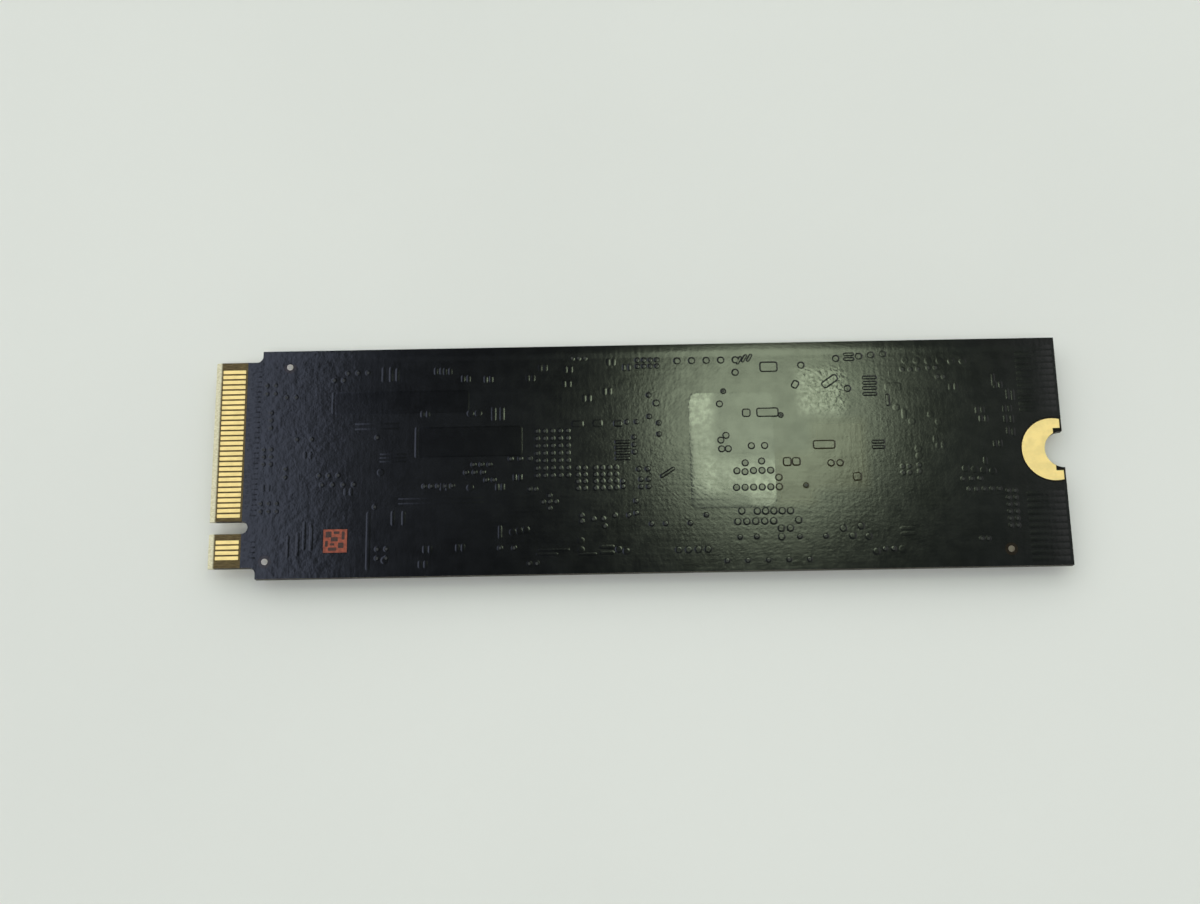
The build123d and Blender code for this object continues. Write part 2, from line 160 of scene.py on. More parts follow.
# Round pads under the lacquer, in mm: first x and y, count, and the step to the next
ROUND_PAD_ROWS = (
    (4.0, 9.35, 5, 1.39, 0.0),
    (9.5, 8.1, 1, 0.0, 0.0),
    (15.8, 8.7, 1, 0.0, 0.0),
    (19.15, 9.3, 1, 0.0, 0.0),
    (20.1, 6.3, 1, 0.0, 0.0),
    (7.9, 5.0, 1, 0.0, 0.0),
    (8.4, 1.9, 2, -0.5, -0.45),
    (7.95, 0.6, 2, 0.62, 0.0),
    (10.75, 0.85, 2, 1.25, 0.0),
    (9.3, -1.55, 2, 0.8, 0.75),
    (10.85, -1.55, 3, 0.8, 0.0),
    (10.05, -1.65, 2, 1.6, 1.0),
    (13.2, -2.25, 1, 0.0, 0.0),
    (18.15, -0.95, 2, 0.85, 0.0),
    (9.2, -3.15, 6, 0.8, 0.0),
    (9.6, -5.4, 1, 0.0, 0.0),
    (11.05, -5.45, 5, 0.77, 0.0),
    (9.2, -6.4, 5, 0.83, 0.0),
    (14.85, -6.35, 1, 0.0, 0.0),
    (13.2, -7.1, 2, 0.85, 0.0),
    (13.2, -7.9, 1, 0.0, 0.0),
    (18.95, -7.2, 2, 0.85, -0.7),
    (20.6, -7.0, 2, 0.65, -1.0),
    (21.9, -9.4, 2, 2.4, 0.15),
    (3.65, -8.95, 4, 0.9, 0.0),
    (1.9, 5.2, 1, 0.0, 0.0),
    (-5.4, -7.95, 2, 0.0, -0.85),
    (-1.9, -8.8, 2, 0.7, -0.2),
    (21.35, 9.5, 3, 1.15, 0.1),
    (24.6, 4.35, 2, 1.4, -1.4),
    (27.8, 3.6, 2, 0.7, -0.75),
    (26.4, 0.25, 2, 0.05, -0.65),
    (-15.7, 4.5, 2, 0.75, 0.0),
    (-15.7, -2.7, 1, 0.0, 0.0),
    (-23.6, -9.45, 1, 0.0, 0.0),
    (-24.1, -1.1, 1, 0.0, 0.0),
    (-11.7, -7.0, 3, 0.6, 0.1),
    (25.7, 9.0, 6, 1.1, -0.04),
    (30.7, -1.7, 4, 0.84, -0.1),
)

# Small vias under the lacquer, in mm: first x and y, columns, rows, and the pitch
VIA_GRIDS = (
    (-3.95, -1.0, 4, 3, 0.65),
    (-9.4, 2.65, 5, 7, 0.72),
    (-5.6, -1.0, 2, 4, 0.65),
    (-3.95, -2.95, 4, 1, 0.65),
    (0.1, -1.2, 2, 1, 0.85),
    (0.3, -2.2, 2, 2, 0.7),
    (-4.2, -5.9, 2, 1, 0.9),
    (-2.2, -5.6, 2, 1, 1.3),
    (0.2, 9.5, 4, 2, 0.62),
    (-6.0, 9.8, 3, 1, 0.6),
    (-29.9, -1.3, 3, 1, 0.9),
    (-15.4, -0.5, 3, 1, 0.75),
    (-14.2, -2.0, 2, 1, 0.7),
    (-24.3, -8.4, 2, 2, 0.85),
    (25.4, 8.1, 3, 1, 0.75),
    (27.9, 8.2, 2, 1, 0.7),
    (30.4, -2.7, 3, 1, 0.8),
    (22.7, -9.2, 2, 1, 0.8),
    (-28.7, 8.0, 2, 1, 0.9),
    (-8.28, -3.6, 1, 3, 0.6),
    (-8.88, -4.2, 2, 1, 1.2),
    (-10.1, -2.95, 2, 1, 0.5),
    (-1.4, -2.35, 1, 2, 0.5),
    (-0.25, 1.9, 1, 3, 0.72),
    (-0.9, 3.4, 2, 1, 0.9),
    (-0.2, -4.25, 1, 2, 1.15),
    (1.2, -6.45, 2, 1, 1.3),
    (4.8, -6.45, 1, 1, 0.5),
    (6.3, -5.7, 1, 1, 0.5),
    (-5.3, -5.55, 1, 2, 0.55),
    (-3.15, -6.6, 1, 1, 0.5),
    (9.35, -7.85, 2, 1, 1.55),
    (14.9, -7.9, 2, 1, 2.4),
    (8.1, -10.05, 5, 1, 1.9),
    (15.7, -3.05, 1, 1, 0.5),
    (13.65, 3.8, 1, 1, 0.5),
    (8.3, 6.25, 1, 1, 0.5),
    (1.2, 6.0, 1, 2, 2.1),
    (2.1, 3.25, 1, 2, 1.1),
    (24.85, -1.4, 2, 2, 0.6),
    (26.4, -1.3, 1, 2, 0.6),
    (-11.9, 0.0, 3, 1, 0.9),
    (-16.1, -1.25, 3, 1, 0.8),
    (-20.0, -2.5, 5, 1, 0.65),
    (-29.6, -2.2, 4, 1, 1.0),
    (-32.1, 2.25, 2, 1, 1.4),
    (-35.1, 7.6, 2, 2, 0.8),
    (-34.6, 4.9, 1, 3, 0.75),
    (-33.2, 6.4, 2, 1, 0.9),
    (-35.2, 1.3, 2, 3, 0.7),
    (-33.1, -0.6, 1, 2, 0.8),
    (-35.3, -3.9, 3, 2, 0.75),
    (-27.4, 8.7, 3, 1, 0.95),
    (-24.6, -4.4, 1, 1, 0.5),
    (-24.5, 2.3, 1, 1, 0.5),
    (28.7, 7.3, 2, 1, 0.6),
    (30.9, -3.7, 5, 1, 0.7),
    (31.7, -8.4, 2, 1, 0.6),
    (34.5, -3.9, 2, 6, 0.66),
    (-12.9, -8.5, 2, 1, 1.3),
    (-10.2, -10.0, 2, 1, 0.7),
)

# Vias under the lacquer of the component side, in mm: first x and y, count, and the step to the next
LOWER_VIA_ROWS = (
    (-23.2, 9.9, 6, 0.8, 0.0),
    (-16.4, 9.75, 3, 1.0, 0.0),
    (-4.0, 10.1, 4, 0.9, 0.0),
    (5.0, 8.3, 9, 0.8, 0.0),
    (5.4, 9.0, 8, 0.8, 0.0),
    (10.0, 3.6, 3, 0.8, 0.0),
    (10.0, 4.4, 3, 0.8, 0.0),
    (15.6, 3.4, 3, 0.0, 0.8),
    (19.6, 9.95, 8, 0.9, 0.0),
    (29.0, 10.0, 4, 0.8, 0.0),
    (-27.9, 8.2, 4, 0.8, 0.0),
    (-27.9, -8.4, 4, 0.8, 0.0),
    (-34.4, -8.6, 4, 0.0, 0.8),
    (-7.9, -9.6, 8, 0.8, 0.0),
    (-1.2, -9.8, 4, 0.8, 0.0),
    (5.0, -9.7, 6, 0.9, 0.0),
    (12.6, -9.9, 5, 0.8, 0.0),
    (19.4, -9.9, 6, 1.0, 0.0),
    (28.2, -9.8, 4, 0.9, 0.0),
    (35.2, -8.6, 4, 0.0, 0.9),
    (35.2, 5.2, 4, 0.0, 0.9),
)

# Round pads, vias and the matt plugs in vias, in mm
ROUND_WIDTH = 0.58
VIA_WIDTH = 0.44
VIA_PLUG_WIDTH = 0.28
VIA_PLUG_STEP = 0.002
VIA_PLUG_INSET = 0.03

# Oblong pads under the lacquer, in mm: x, y, length, width, turn in degrees
OBLONG_PADS = (
    (12.70, 8.60, 1.60, 0.90, 0),
    (18.45, 7.05, 1.60, 0.62, 35),
    (15.15, 6.80, 0.70, 0.55, 60),
    (20.40, 9.70, 0.95, 0.26, 0),
    (20.40, 9.22, 0.95, 0.26, 0),
    (22.25, 7.35, 1.30, 0.26, 0),
    (22.25, 6.82, 1.30, 0.26, 0),
    (22.20, 6.30, 1.30, 0.26, 0),
    (22.20, 5.72, 1.30, 0.26, 0),
    (24.40, 6.40, 1.50, 0.70, 0),
    (23.85, 5.10, 1.10, 0.30, 90),
    (25.30, 3.70, 0.90, 0.40, 90),
    (22.70, 1.02, 1.15, 0.26, 0),
    (22.70, 0.50, 1.15, 0.26, 0),
    (28.10, 1.15, 0.70, 0.40, 90),
    (12.40, 4.10, 2.00, 0.80, 0),
    (10.40, 4.08, 0.72, 0.72, 0),
    (17.60, 0.85, 2.00, 0.75, 0),
    (14.05, -0.75, 0.70, 0.75, 0),
    (14.90, -0.75, 0.70, 0.70, 0),
    (9.90, 9.30, 0.80, 0.22, 60),
    (10.40, 9.50, 0.80, 0.22, 60),
    (10.90, 9.55, 0.80, 0.22, 60),
    (20.55, -2.30, 0.72, 0.72, 0),
    (24.90, -7.30, 1.30, 0.28, 0),
    (24.90, -7.80, 1.30, 0.28, 0),
    (-3.00, -8.55, 1.30, 0.26, 0),
    (-3.00, -9.10, 1.30, 0.26, 0),
    (-8.55, -9.15, 1.90, 0.18, 0),
    (-4.80, -9.20, 1.60, 0.18, 0),
    (2.80, -1.58, 1.55, 0.26, 33),
    (-5.57, 3.30, 1.05, 0.52, 0),
    (-3.68, 3.32, 0.85, 0.60, 0),
    (-1.75, 3.25, 0.80, 0.52, 0),
    (-1.37, 1.45, 1.40, 0.26, 0),
    (-1.37, 0.92, 1.40, 0.26, 0),
    (-1.37, 0.38, 1.40, 0.26, 0),
    (-1.37, -0.15, 1.40, 0.26, 0),
    (-13.50, 4.40, 1.30, 0.34, 90),
    (-12.70, 4.40, 1.30, 0.34, 90),
    (-12.90, -7.00, 1.20, 0.24, 90),
    (-24.00, 8.50, 1.40, 0.24, 90),
    (-23.30, 8.50, 1.40, 0.24, 90),
    (-25.15, -7.60, 5.40, 0.30, 90),
    (-22.70, 8.45, 1.20, 0.22, 90),
    (-28.70, 5.75, 2.00, 0.26, 90),
    (-20.75, 1.75, 2.90, 0.26, 90),
    (-22.90, -5.50, 1.30, 0.24, 90),
    (-21.90, -5.50, 1.30, 0.24, 90),
    (-7.90, -8.75, 2.80, 0.18, 0),
    (33.95, 6.90, 1.20, 0.22, 90),
    (-31.70, -7.80, 2.20, 0.24, 90),
    (-31.10, -7.00, 2.60, 0.22, 90),
    (-30.45, -7.20, 2.40, 0.26, 90),
    (-32.60, -8.00, 2.00, 0.20, 90),
    (35.20, 5.45, 1.00, 0.22, 90),
    (35.70, 5.35, 1.00, 0.22, 90),
    (34.80, 3.05, 0.72, 0.24, 90),
    (35.42, 3.00, 0.72, 0.24, 90),
    (34.95, 1.90, 0.72, 0.22, 90),
    (35.45, 1.75, 0.72, 0.22, 90),
    (32.60, -1.00, 0.70, 0.30, 90),
)

# Corner of an oblong pad: at most so many mm, and at most a share of its width
OBLONG_CORNER = 0.12
OBLONG_CORNER_SHARE = 0.2

# Pairs of small upright pads, as of two-terminal parts, in mm: middle x and y
PAD_PAIRS = (
    (-10.0, 7.9),
    (-8.8, 8.9),
    (-6.4, 8.7),
    (-6.55, 7.25),
    (-4.65, 5.8),
    (-2.7, 6.45),
    (-2.3, 9.35),
    (-0.8, 8.8),
    (-18.75, 8.75),
    (-17.9, 8.7),
    (-16.15, 7.95),
    (-14.0, 7.85),
    (-20.0, 4.55),
    (-12.9, -2.7),
    (-11.25, -1.8),
    (-16.6, -8.4),
    (-19.65, -8.5),
    (-20.05, -9.9),
    (-31.0, 0.7),
    (-34.85, -2.4),
    (30.1, 6.3),
    (34.35, 6.4),
    (33.9, 0.65),
    (32.75, 3.1),
    (32.45, 3.95),
    (35.05, 4.05),
    (28.5, 0.6),
    (-27.1, -2.9),
    (-18.1, -2.6),
)

# Sizes of such a pair, in mm: the gap is between the middles of its pads
PAD_PAIR_GAP = 0.52
PAD_PAIR_LENGTH = 0.62
PAD_PAIR_WIDTH = 0.26
PAD_PAIR_CORNER = 0.06

# Traces under the lacquer, in mm: their line, how many run side by side, and their pitch
TRACE_BUNDLES = (
    (((-22.4, -3.9), (-14.4, -3.9)), 2, 0.45),
    (((-24.2, 0.3), (-21.7, 0.3)), 3, 0.36),
    (((-26.6, 3.4), (-22.4, 3.4)), 2, 0.5),
)
LOWER_TRACE_BUNDLES = (
    (((5.4, 4.45), (4.5, 4.45), (3.7, 5.25), (2.9, 5.25)), 2, 0.5),
    (((-24.4, -9.7), (-9.6, -9.7), (-9.0, -9.1), (-9.0, -6.2)), 3, 0.34),
    (((3.4, 9.9), (16.6, 9.9), (17.9, 8.6), (17.9, 5.4)), 4, 0.34),
    (((-10.0, 9.6), (-7.6, 9.6), (-6.8, 8.8), (-6.8, 6.2)), 3, 0.34),
    (((34.9, -3.4), (34.9, 3.4)), 3, 0.34),
)

# Section of a trace in mm, its steps on the two sides, the depth of a ridge's foot, a ridge's height at its
# very ends as a share, and where the tail of a contact finger starts and ends beyond it in mm
TRACE_WIDTH = 0.12
TRACE_SLOPE = 0.08
TRACE_STEP = 0.0016
LOWER_TRACE_STEP = 0.0056
RIDGE_SINK = 0.006
RUN_OUT_SHARE = 0.05
TAIL_ENDS = (0.3, 1.5)

# Ridges across the screw end, in mm
SCREW_RIDGE_PITCH = 0.62
SCREW_RIDGE_WIDTH = 0.22
SCREW_RIDGE_SLOPE = 0.21
SCREW_RIDGE_STEP = 0.009
SCREW_RIDGE_SPANS = ((3.9, 10.2), (-10.4, -4.0))
SCREW_RIDGE_ENDS = (36.3, 39.6)

# Fiducial dots: height of the rim and radius of the corners as shares, and the laminate in the windows of the
# lacquer round them in mm
DOT_RIM = 0.4
DOT_CORNER = 0.98
DOT_WINDOW_WIDTH = 1.18
DOT_WINDOW_STEP = 0.003
DOT_WINDOW_INSET = 0.05

# Contact fingers: edge and corner in mm, and where the flat top starts as a share of the edge
FINGER_EDGE = 0.014
FINGER_CORNER = 0.05
FINGER_TOP = 1.5

# Bead of lacquer along the far long edge, in mm, and where its crest lies as a share of its width
BEAD_WIDTH = 1.35
BEAD_HEIGHT = 0.015
BEAD_ENDS = (-34.2, 38.5)
BEAD_SINK = 0.0004
BEAD_CREST = 0.45

# Simple shapes on the copper field: x and y from its middle, length, width, in mm
FIELD_SHAPES = (
    (-0.62, 0.62, 0.56, 0.56),
    (0.12, 0.78, 0.54, 0.24),
    (0.74, 0.50, 0.28, 0.78),
    (-0.08, 0.16, 0.66, 0.40),
    (-0.80, -0.25, 0.26, 0.56),
    (0.54, -0.42, 0.52, 0.52),
    (-0.26, -0.76, 0.80, 0.30),
    (-0.26, -0.32, 0.40, 0.22),
)

# Corner, heights and drawn-in top of those shapes, in mm
FIELD_CORNER = 0.06
FIELD_FOOT = -0.01
FIELD_SHOULDER = 0.004
FIELD_TOP = 0.007
FIELD_INSET = 0.015

# Packages and leadless chips, and the corners of their mouldings in mm
PACKAGES = ("controller", "flash_1", "flash_2", "cache_memory")
CHIPS = ("power_chip", "load_switch", "temperature_sensor")
PACKAGE_CORNER = 0.04
CHIP_CORNER = 0.05

# First-pin marks in mm: how far mouldings are short for them, heights of their foot and face over the lowest
# face of the part, inset from a package's corner, half width and corner. A chip's mark lies in by a share of
# the chip's length.
MARK_STEP = 0.006
MARK_FOOT = 0.02
MARK_FACE = 0.1 * MARK_STEP
MARK_INSET = 1.0
MARK_HALF = 0.36
MARK_CORNER = 0.345
CHIP_MARK_INSET = 0.16
CHIP_MARK_HALF = 0.14
CHIP_MARK_CORNER = 0.13

# Moulded blocks: largest rounding of an edge as a share of the least side, and how far the flat face starts
# inside that rounding as a share of it
LARGEST_EDGE = 0.25
FACE_INSET = 1.6

# Solder balls: how far the ends are drawn in as a share of the bulge, the corner as a share of half the
# width, and the angle from which an edge is sharp
BALL_DRAW = 0.6
BALL_CORNER = 0.94
BALL_SHARP = 0.6 * RIGHT_ANGLE

# Clock crystal: edge and corner of its base and corner of its lid in mm, and the lid's profile as an offset
# in mm and a share of its height
CRYSTAL_EDGE = 0.03
CRYSTAL_CORNER = 0.12
LID_CORNER = 0.35
LID_PROFILE = (
    (0.0, 0.0),
    (0.0, -0.3),
    (-0.06, -0.38),
    (-0.14, -0.40),
    (-0.20, -0.88),
    (-0.26, -1.0),
    (-0.34, -1.0),
)

# Two-terminal parts: name, name of the metal ends, finish, slot, and rounding of the edges in mm
PASSIVES = (
    ("small_capacitor", "ends", "fired_ceramic", "capacitor_ceramic", 0.05),
    ("large_capacitor", "ends", "fired_ceramic", "capacitor_ceramic", 0.07),
    ("coupling_capacitor", "ends", "fired_ceramic", "capacitor_ceramic", 0.05),
    ("resistor", "ends", "resistor_coat", "resistor_coat", 0.03),
    ("bulk_capacitor", "terminals", "capacitor_case", "capacitor_case", 0.10),
    ("inductor", "terminals", "pressed_powder", "inductor_core", 0.12),
)

# Solder foot of a metal end: its climb as a share of the end's height, and its spread, gap and corner in mm
FOOT_CLIMB = 0.55
FOOT_SPREAD = 0.13
FOOT_GAP = 0.004
FOOT_CORNER = 0.05

# Grained finishes: dark tone, pale tone, grain in mm, lowest and highest roughness, and depth in mm
GRAINED = {
    "dark_ceramic": ((0.10, 0.088, 0.080), (0.18, 0.16, 0.145), 0.05, 0.45, 0.60, 0.003),
    "pressed_powder": ((0.07, 0.07, 0.074), (0.19, 0.19, 0.195), 0.045, 0.50, 0.70, 0.008),
    "capacitor_case": ((0.05, 0.05, 0.052), (0.10, 0.10, 0.10), 0.06, 0.42, 0.58, 0.004),
    "resistor_coat": ((0.022, 0.022, 0.026), (0.050, 0.050, 0.056), 0.08, 0.20, 0.34, 0.002),
    "laser_mark": ((0.24, 0.24, 0.23), (0.40, 0.40, 0.38), 0.04, 0.60, 0.80, 0.004),
    "via_resin": ((0.004, 0.0045, 0.0045), (0.010, 0.011, 0.010), 0.05, 0.34, 0.46, 0.002),
}


def tint(name, description, default):
    """A setting for a colour."""
    return bpy.props.FloatVectorProperty(name=name, description=description, subtype="COLOR", default=default)


def length(name, description, default):
    """A setting for a length, with its default in mm."""
    return bpy.props.FloatProperty(name=name, description=description, unit="LENGTH", default=default * MM)


class LacquerSettings(bpy.types.PropertyGroup):
    """Solder lacquer and the relief of the copper under it."""

    colour: tint("Lacquer", "Colour of the lacquer", (0.0032, 0.0036, 0.0040))
    gloss: bpy.props.FloatProperty(
        name="Roughness",
        description="Roughness of the lacquer",
        subtype="FACTOR",
        default=0.145,
        min=0,
        max=1,
    )
    film: length("Film", "Thickness of the lacquer on bare laminate", 0.020)
    pad_step: length("Pad step", "Height of covered pads", 0.016)
    slope: length("Slope", "Width of a covered edge's slope", 0.14)


class MetalSettings(bpy.types.PropertyGroup):
    """Plating, solder and copper."""

    gold: tint("Gold", "Colour of the gold plate", (1.0, 0.80, 0.36))
    tin: tint("Tin", "Colour of tinned pads and ends", (0.72, 0.72, 0.70))
    solder: tint("Solder", "Colour of the solder", (0.66, 0.67, 0.68))
    copper: tint("Copper", "Colour of the copper field", (0.28, 0.066, 0.034))


class PackageSettings(bpy.types.PropertyGroup):
    """Packages and small parts on the component side."""

    mould: tint("Mould", "Colour of the moulded caps", (0.022, 0.022, 0.024))
    ceramic: tint("Ceramic", "Colour of the capacitors", (0.36, 0.23, 0.14))
    edge_round: length("Edge", "Rounding of package edges", 0.05)
    ball_bulge: length("Bulge", "How far a solder ball bulges", 0.055)


class StageSettings(bpy.types.PropertyGroup):
    """Table and light."""

    table: tint("Table", "Colour of the table", (0.82, 0.835, 0.79))
    room: bpy.props.FloatProperty(name="Room light", description="Strength of the room's light", default=0.80)
    key: bpy.props.FloatProperty(
        name="Ceiling light", description="Power of the ceiling light", unit="POWER", default=0.152
    )
    lamp_width: length("Light width", "Width of the ceiling light", 94.0)
    lamp_distance: length("Light distance", "Distance of the ceiling light", 500.0)


# Geometry


def merged_mesh(node):
    """Corner points and triangles of a node, with corners that lie on each other made one."""
    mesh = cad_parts[node].data
    points = np.empty(len(mesh.vertices) * 3, np.float32)
    mesh.vertices.foreach_get("co", points)
    corners = np.empty(len(mesh.loops), np.int32)
    mesh.loops.foreach_get("vertex_index", corners)
    points = np.round(points.reshape(-1, 3).astype(float), 7)
    points, place = np.unique(points, axis=0, return_inverse=True)
    return points, place.ravel()[corners].reshape(-1, 3)


def solids(node):
    """Low and high corners of each solid in a node.

    Triangles that share a corner take the lowest label among their corners until no label changes."""
    points, triangles = merged_mesh(node)
    label = np.arange(len(points))
    while True:
        spread = label.copy()
        np.minimum.at(spread, triangles, label[triangles].min(axis=1)[:, None])
        if (spread == label).all():
            break
        label = spread
    owners, member = np.unique(label, return_inverse=True)
    low = np.full((len(owners), 3), np.inf)
    high = np.full((len(owners), 3), -np.inf)
    np.minimum.at(low, member, points)
    np.maximum.at(high, member, points)
    return low, high


def seats(node, hanging=True):
    """Middles of the solids in a node, on the upper face of each or on the lower one, and their sizes."""
    low, high = solids(node)
    middle = (low + high) / 2
    middle[:, 2] = (high if hanging else low)[:, 2]
    return middle, high - low


def carried_outlines(centres, halves, corners, turns, profile, steps=3):
    """Rounded rectangles carried along a profile, as closed solids.

    A point of an outline is its corner's middle plus (corner radius + offset) * (cos a, sin a), where a runs
    through a quarter turn at each corner. A profile row is an offset outwards and a height."""
    centres = np.asarray(centres, float)
    count = len(centres)
    halves = np.broadcast_to(halves, (count, 2)).astype(float)
    corners = np.broadcast_to(corners, (count,)).astype(float)
    turns = np.broadcast_to(turns, (count,)).astype(float)
    profile = np.asarray(profile, float)
    profile = np.broadcast_to(profile, (count,) + profile.shape[-2:])
    rows = profile.shape[1]

    quarter = np.linspace(0.0, RIGHT_ANGLE, steps + 1)
    angles = (quarter + np.arange(4)[:, None] * RIGHT_ANGLE).ravel()
    quadrant = np.repeat(np.arange(4), steps + 1)
    side = np.stack([np.where(quadrant % 3 == 0, 1, -1), np.where(quadrant < 2, 1, -1)], axis=-1)
    unit = np.stack([np.cos(angles), np.sin(angles)], axis=-1)

    least = 0.001 * MM
    reach = corners[:, None] + profile[:, :, 0]
    drawn_in = np.minimum(reach - least, 0.0)
    middles = (halves - corners[:, None])[:, None, :] + drawn_in[:, :, None]
    flat = side * middles[:, :, None, :] + np.maximum(reach, least)[:, :, None, None] * unit
    cosine = np.cos(turns)[:, None, None]
    sine = np.sin(turns)[:, None, None]
    x = centres[:, 0, None, None] + flat[..., 0] * cosine - flat[..., 1] * sine
    y = centres[:, 1, None, None] + flat[..., 0] * sine + flat[..., 1] * cosine
    z = np.broadcast_to((centres[:, 2, None] + profile[:, :, 1])[:, :, None], x.shape)

    index = np.arange(count * rows * len(angles)).reshape(count, rows, len(angles))
    ahead = np.roll(index, -1, axis=2)
    walls = np.stack([index[:, :-1], ahead[:, :-1], ahead[:, 1:], index[:, 1:]], axis=-1).reshape(-1, 4)
    caps = np.concatenate([index[:, 0, ::-1], index[:, -1]])
    if profile[0, -1, 1] < profile[0, 0, 1]:
        walls = walls[:, ::-1]
        caps = caps[:, ::-1]
    points = np.stack([x, y, z], axis=-1).reshape(-1, 3)
    return points, [walls, caps]


def headings(line):
    """Unit vectors along the runs of a bent line."""
    along = np.diff(line, axis=0)
    return along / np.linalg.norm(along, axis=1, keepdims=True)


def mitres(along):
    """Sideways vectors at the points of a bent line, from the headings of its runs.

    At a bend the vector lies on the line that halves it, longer by one over the cosine of half the bend."""
    across = np.stack([-along[:, 1], along[:, 0]], axis=-1)
    before = np.concatenate([across[:1], across])
    after = np.concatenate([across, across[-1:]])
    return (before + after) / (1.0 + (before * after).sum(axis=1, keepdims=True))


def carried_ridge(line, offsets, rise, height, sink, run_out):
    """A ridge's section carried along a bent line.

    The section is given by offsets across the line and shares of the height, from below the surface by the
    sink. At both ends it runs out to nearly nothing over the run-out's length."""
    line = np.asarray(line, float)
    along = headings(line)
    line = np.concatenate([[line[0] - run_out * along[0]], line, [line[-1] + run_out * along[-1]]])
    sideways = mitres(np.concatenate([along[:1], along, along[-1:]]))
    share = np.ones(len(line))
    share[[0, -1]] = RUN_OUT_SHARE
    plan = line[:, None, :] + offsets[None, :, None] * sideways[:, None, :]
    z = share[:, None] * rise * (height + sink) - sink
    points = np.concatenate([plan, z[:, :, None]], axis=-1).reshape(-1, 3)
    index = np.arange(len(points)).reshape(len(line), len(rise))
    ahead = np.roll(index, -1, axis=1)
    walls = np.stack([index[:-1], index[1:], ahead[1:], ahead[:-1]], axis=-1).reshape(-1, 4)
    caps = np.stack([index[0], index[-1, ::-1]])
    return points, [walls, caps]


def beside(line, offset):
    """A bent line moved sideways by an offset, with its bends kept on the lines that halve them."""
    line = np.asarray(line, float)
    return line + offset * mitres(headings(line))


def add_piece(name, shapes, material, stands_for=(), smooth=True, sharp=RIGHT_ANGLE / 3):
    """One mesh object of points and faces, which rides on the card and stands for the given nodes."""
    starts = np.cumsum([0] + [len(points) for points, _ in shapes])
    points = np.concatenate([points for points, _ in shapes])
    faces = [face + start for (_, groups), start in zip(shapes, starts) for face in groups]
    sizes = np.concatenate([np.full(len(face), face.shape[1]) for face in faces])
    corners = np.concatenate([face.ravel() for face in faces])
    mesh = bpy.data.meshes.new(name)
    mesh.vertices.add(len(points))
    mesh.vertices.foreach_set("co", points.astype(np.float32).ravel())
    mesh.loops.add(len(corners))
    mesh.loops.foreach_set("vertex_index", corners.astype(np.int32))
    mesh.polygons.add(len(sizes))
    mesh.polygons.foreach_set("loop_start", (np.cumsum(sizes) - sizes).astype(np.int32))
    mesh.update(calc_edges=True)
    mesh.polygons.foreach_set("use_smooth", np.full(len(sizes), smooth))
    if smooth:
        mesh.set_sharp_from_angle(angle=sharp)
    if mesh.validate():
        raise RuntimeError(f"{name} has broken faces")
    mesh.materials.append(material)
    piece = bpy.data.objects.new(name, mesh)
    bpy.context.scene.collection.objects.link(piece)
    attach(piece, "root")
    if stands_for:
        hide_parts(*stands_for)
    return piece


def paint(material, *nodes):
    """Gives nodes of the frame a material."""
    for name in nodes:
        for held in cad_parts[name].material_slots:
            held.material = material


# Finishes


class Shading:
    """A node tree, and short ways to add nodes to it."""

    def __init__(self, tree):
        self.tree = tree

    def add(self, kind, inputs=None, **settings):
        """A node with its settings, and its sockets set or linked."""
        made = self.tree.nodes.new(kind)
        for key, value in settings.items():
            setattr(made, key, value)
        for key, value in (inputs or {}).items():
            self.put(made.inputs[key], value)
        return made

    def put(self, socket, value):
        if isinstance(value, bpy.types.NodeSocket):
            self.tree.links.new(value, socket)
        else:
            socket.default_value = value

    def math(self, operation, first, second):
        made = self.add("ShaderNodeMath", {0: first, 1: second}, operation=operation)
        return made.outputs[0]

    def between(self, value, low, high, from_low=0.3, from_high=0.7):
        """A value carried from one span to another along a smooth step."""
        inputs = {"Value": value, "From Min": from_low, "From Max": from_high, "To Min": low, "To Max": high}
        return self.add("ShaderNodeMapRange", inputs, interpolation_type="SMOOTHSTEP").outputs[0]

    def bounded(self, value, start, end):
        """1 from the start to the end, each of which is a soft edge, and 0 beyond them."""
        return self.math("MULTIPLY", self.between(value, 0, 1, *start), self.between(value, 1, 0, *end))

    def blend(self, factor, first, second, way="MIX"):
        """Colour from the first to the second as the factor goes from 0 to 1."""
        made = self.add("ShaderNodeMix", data_type="RGBA", blend_type=way)
        for socket, value in zip((made.inputs[0], made.inputs[6], made.inputs[7]), (factor, first, second)):
            self.put(socket, (*value, 1.0) if isinstance(value, tuple) else value)
        return made.outputs[2]


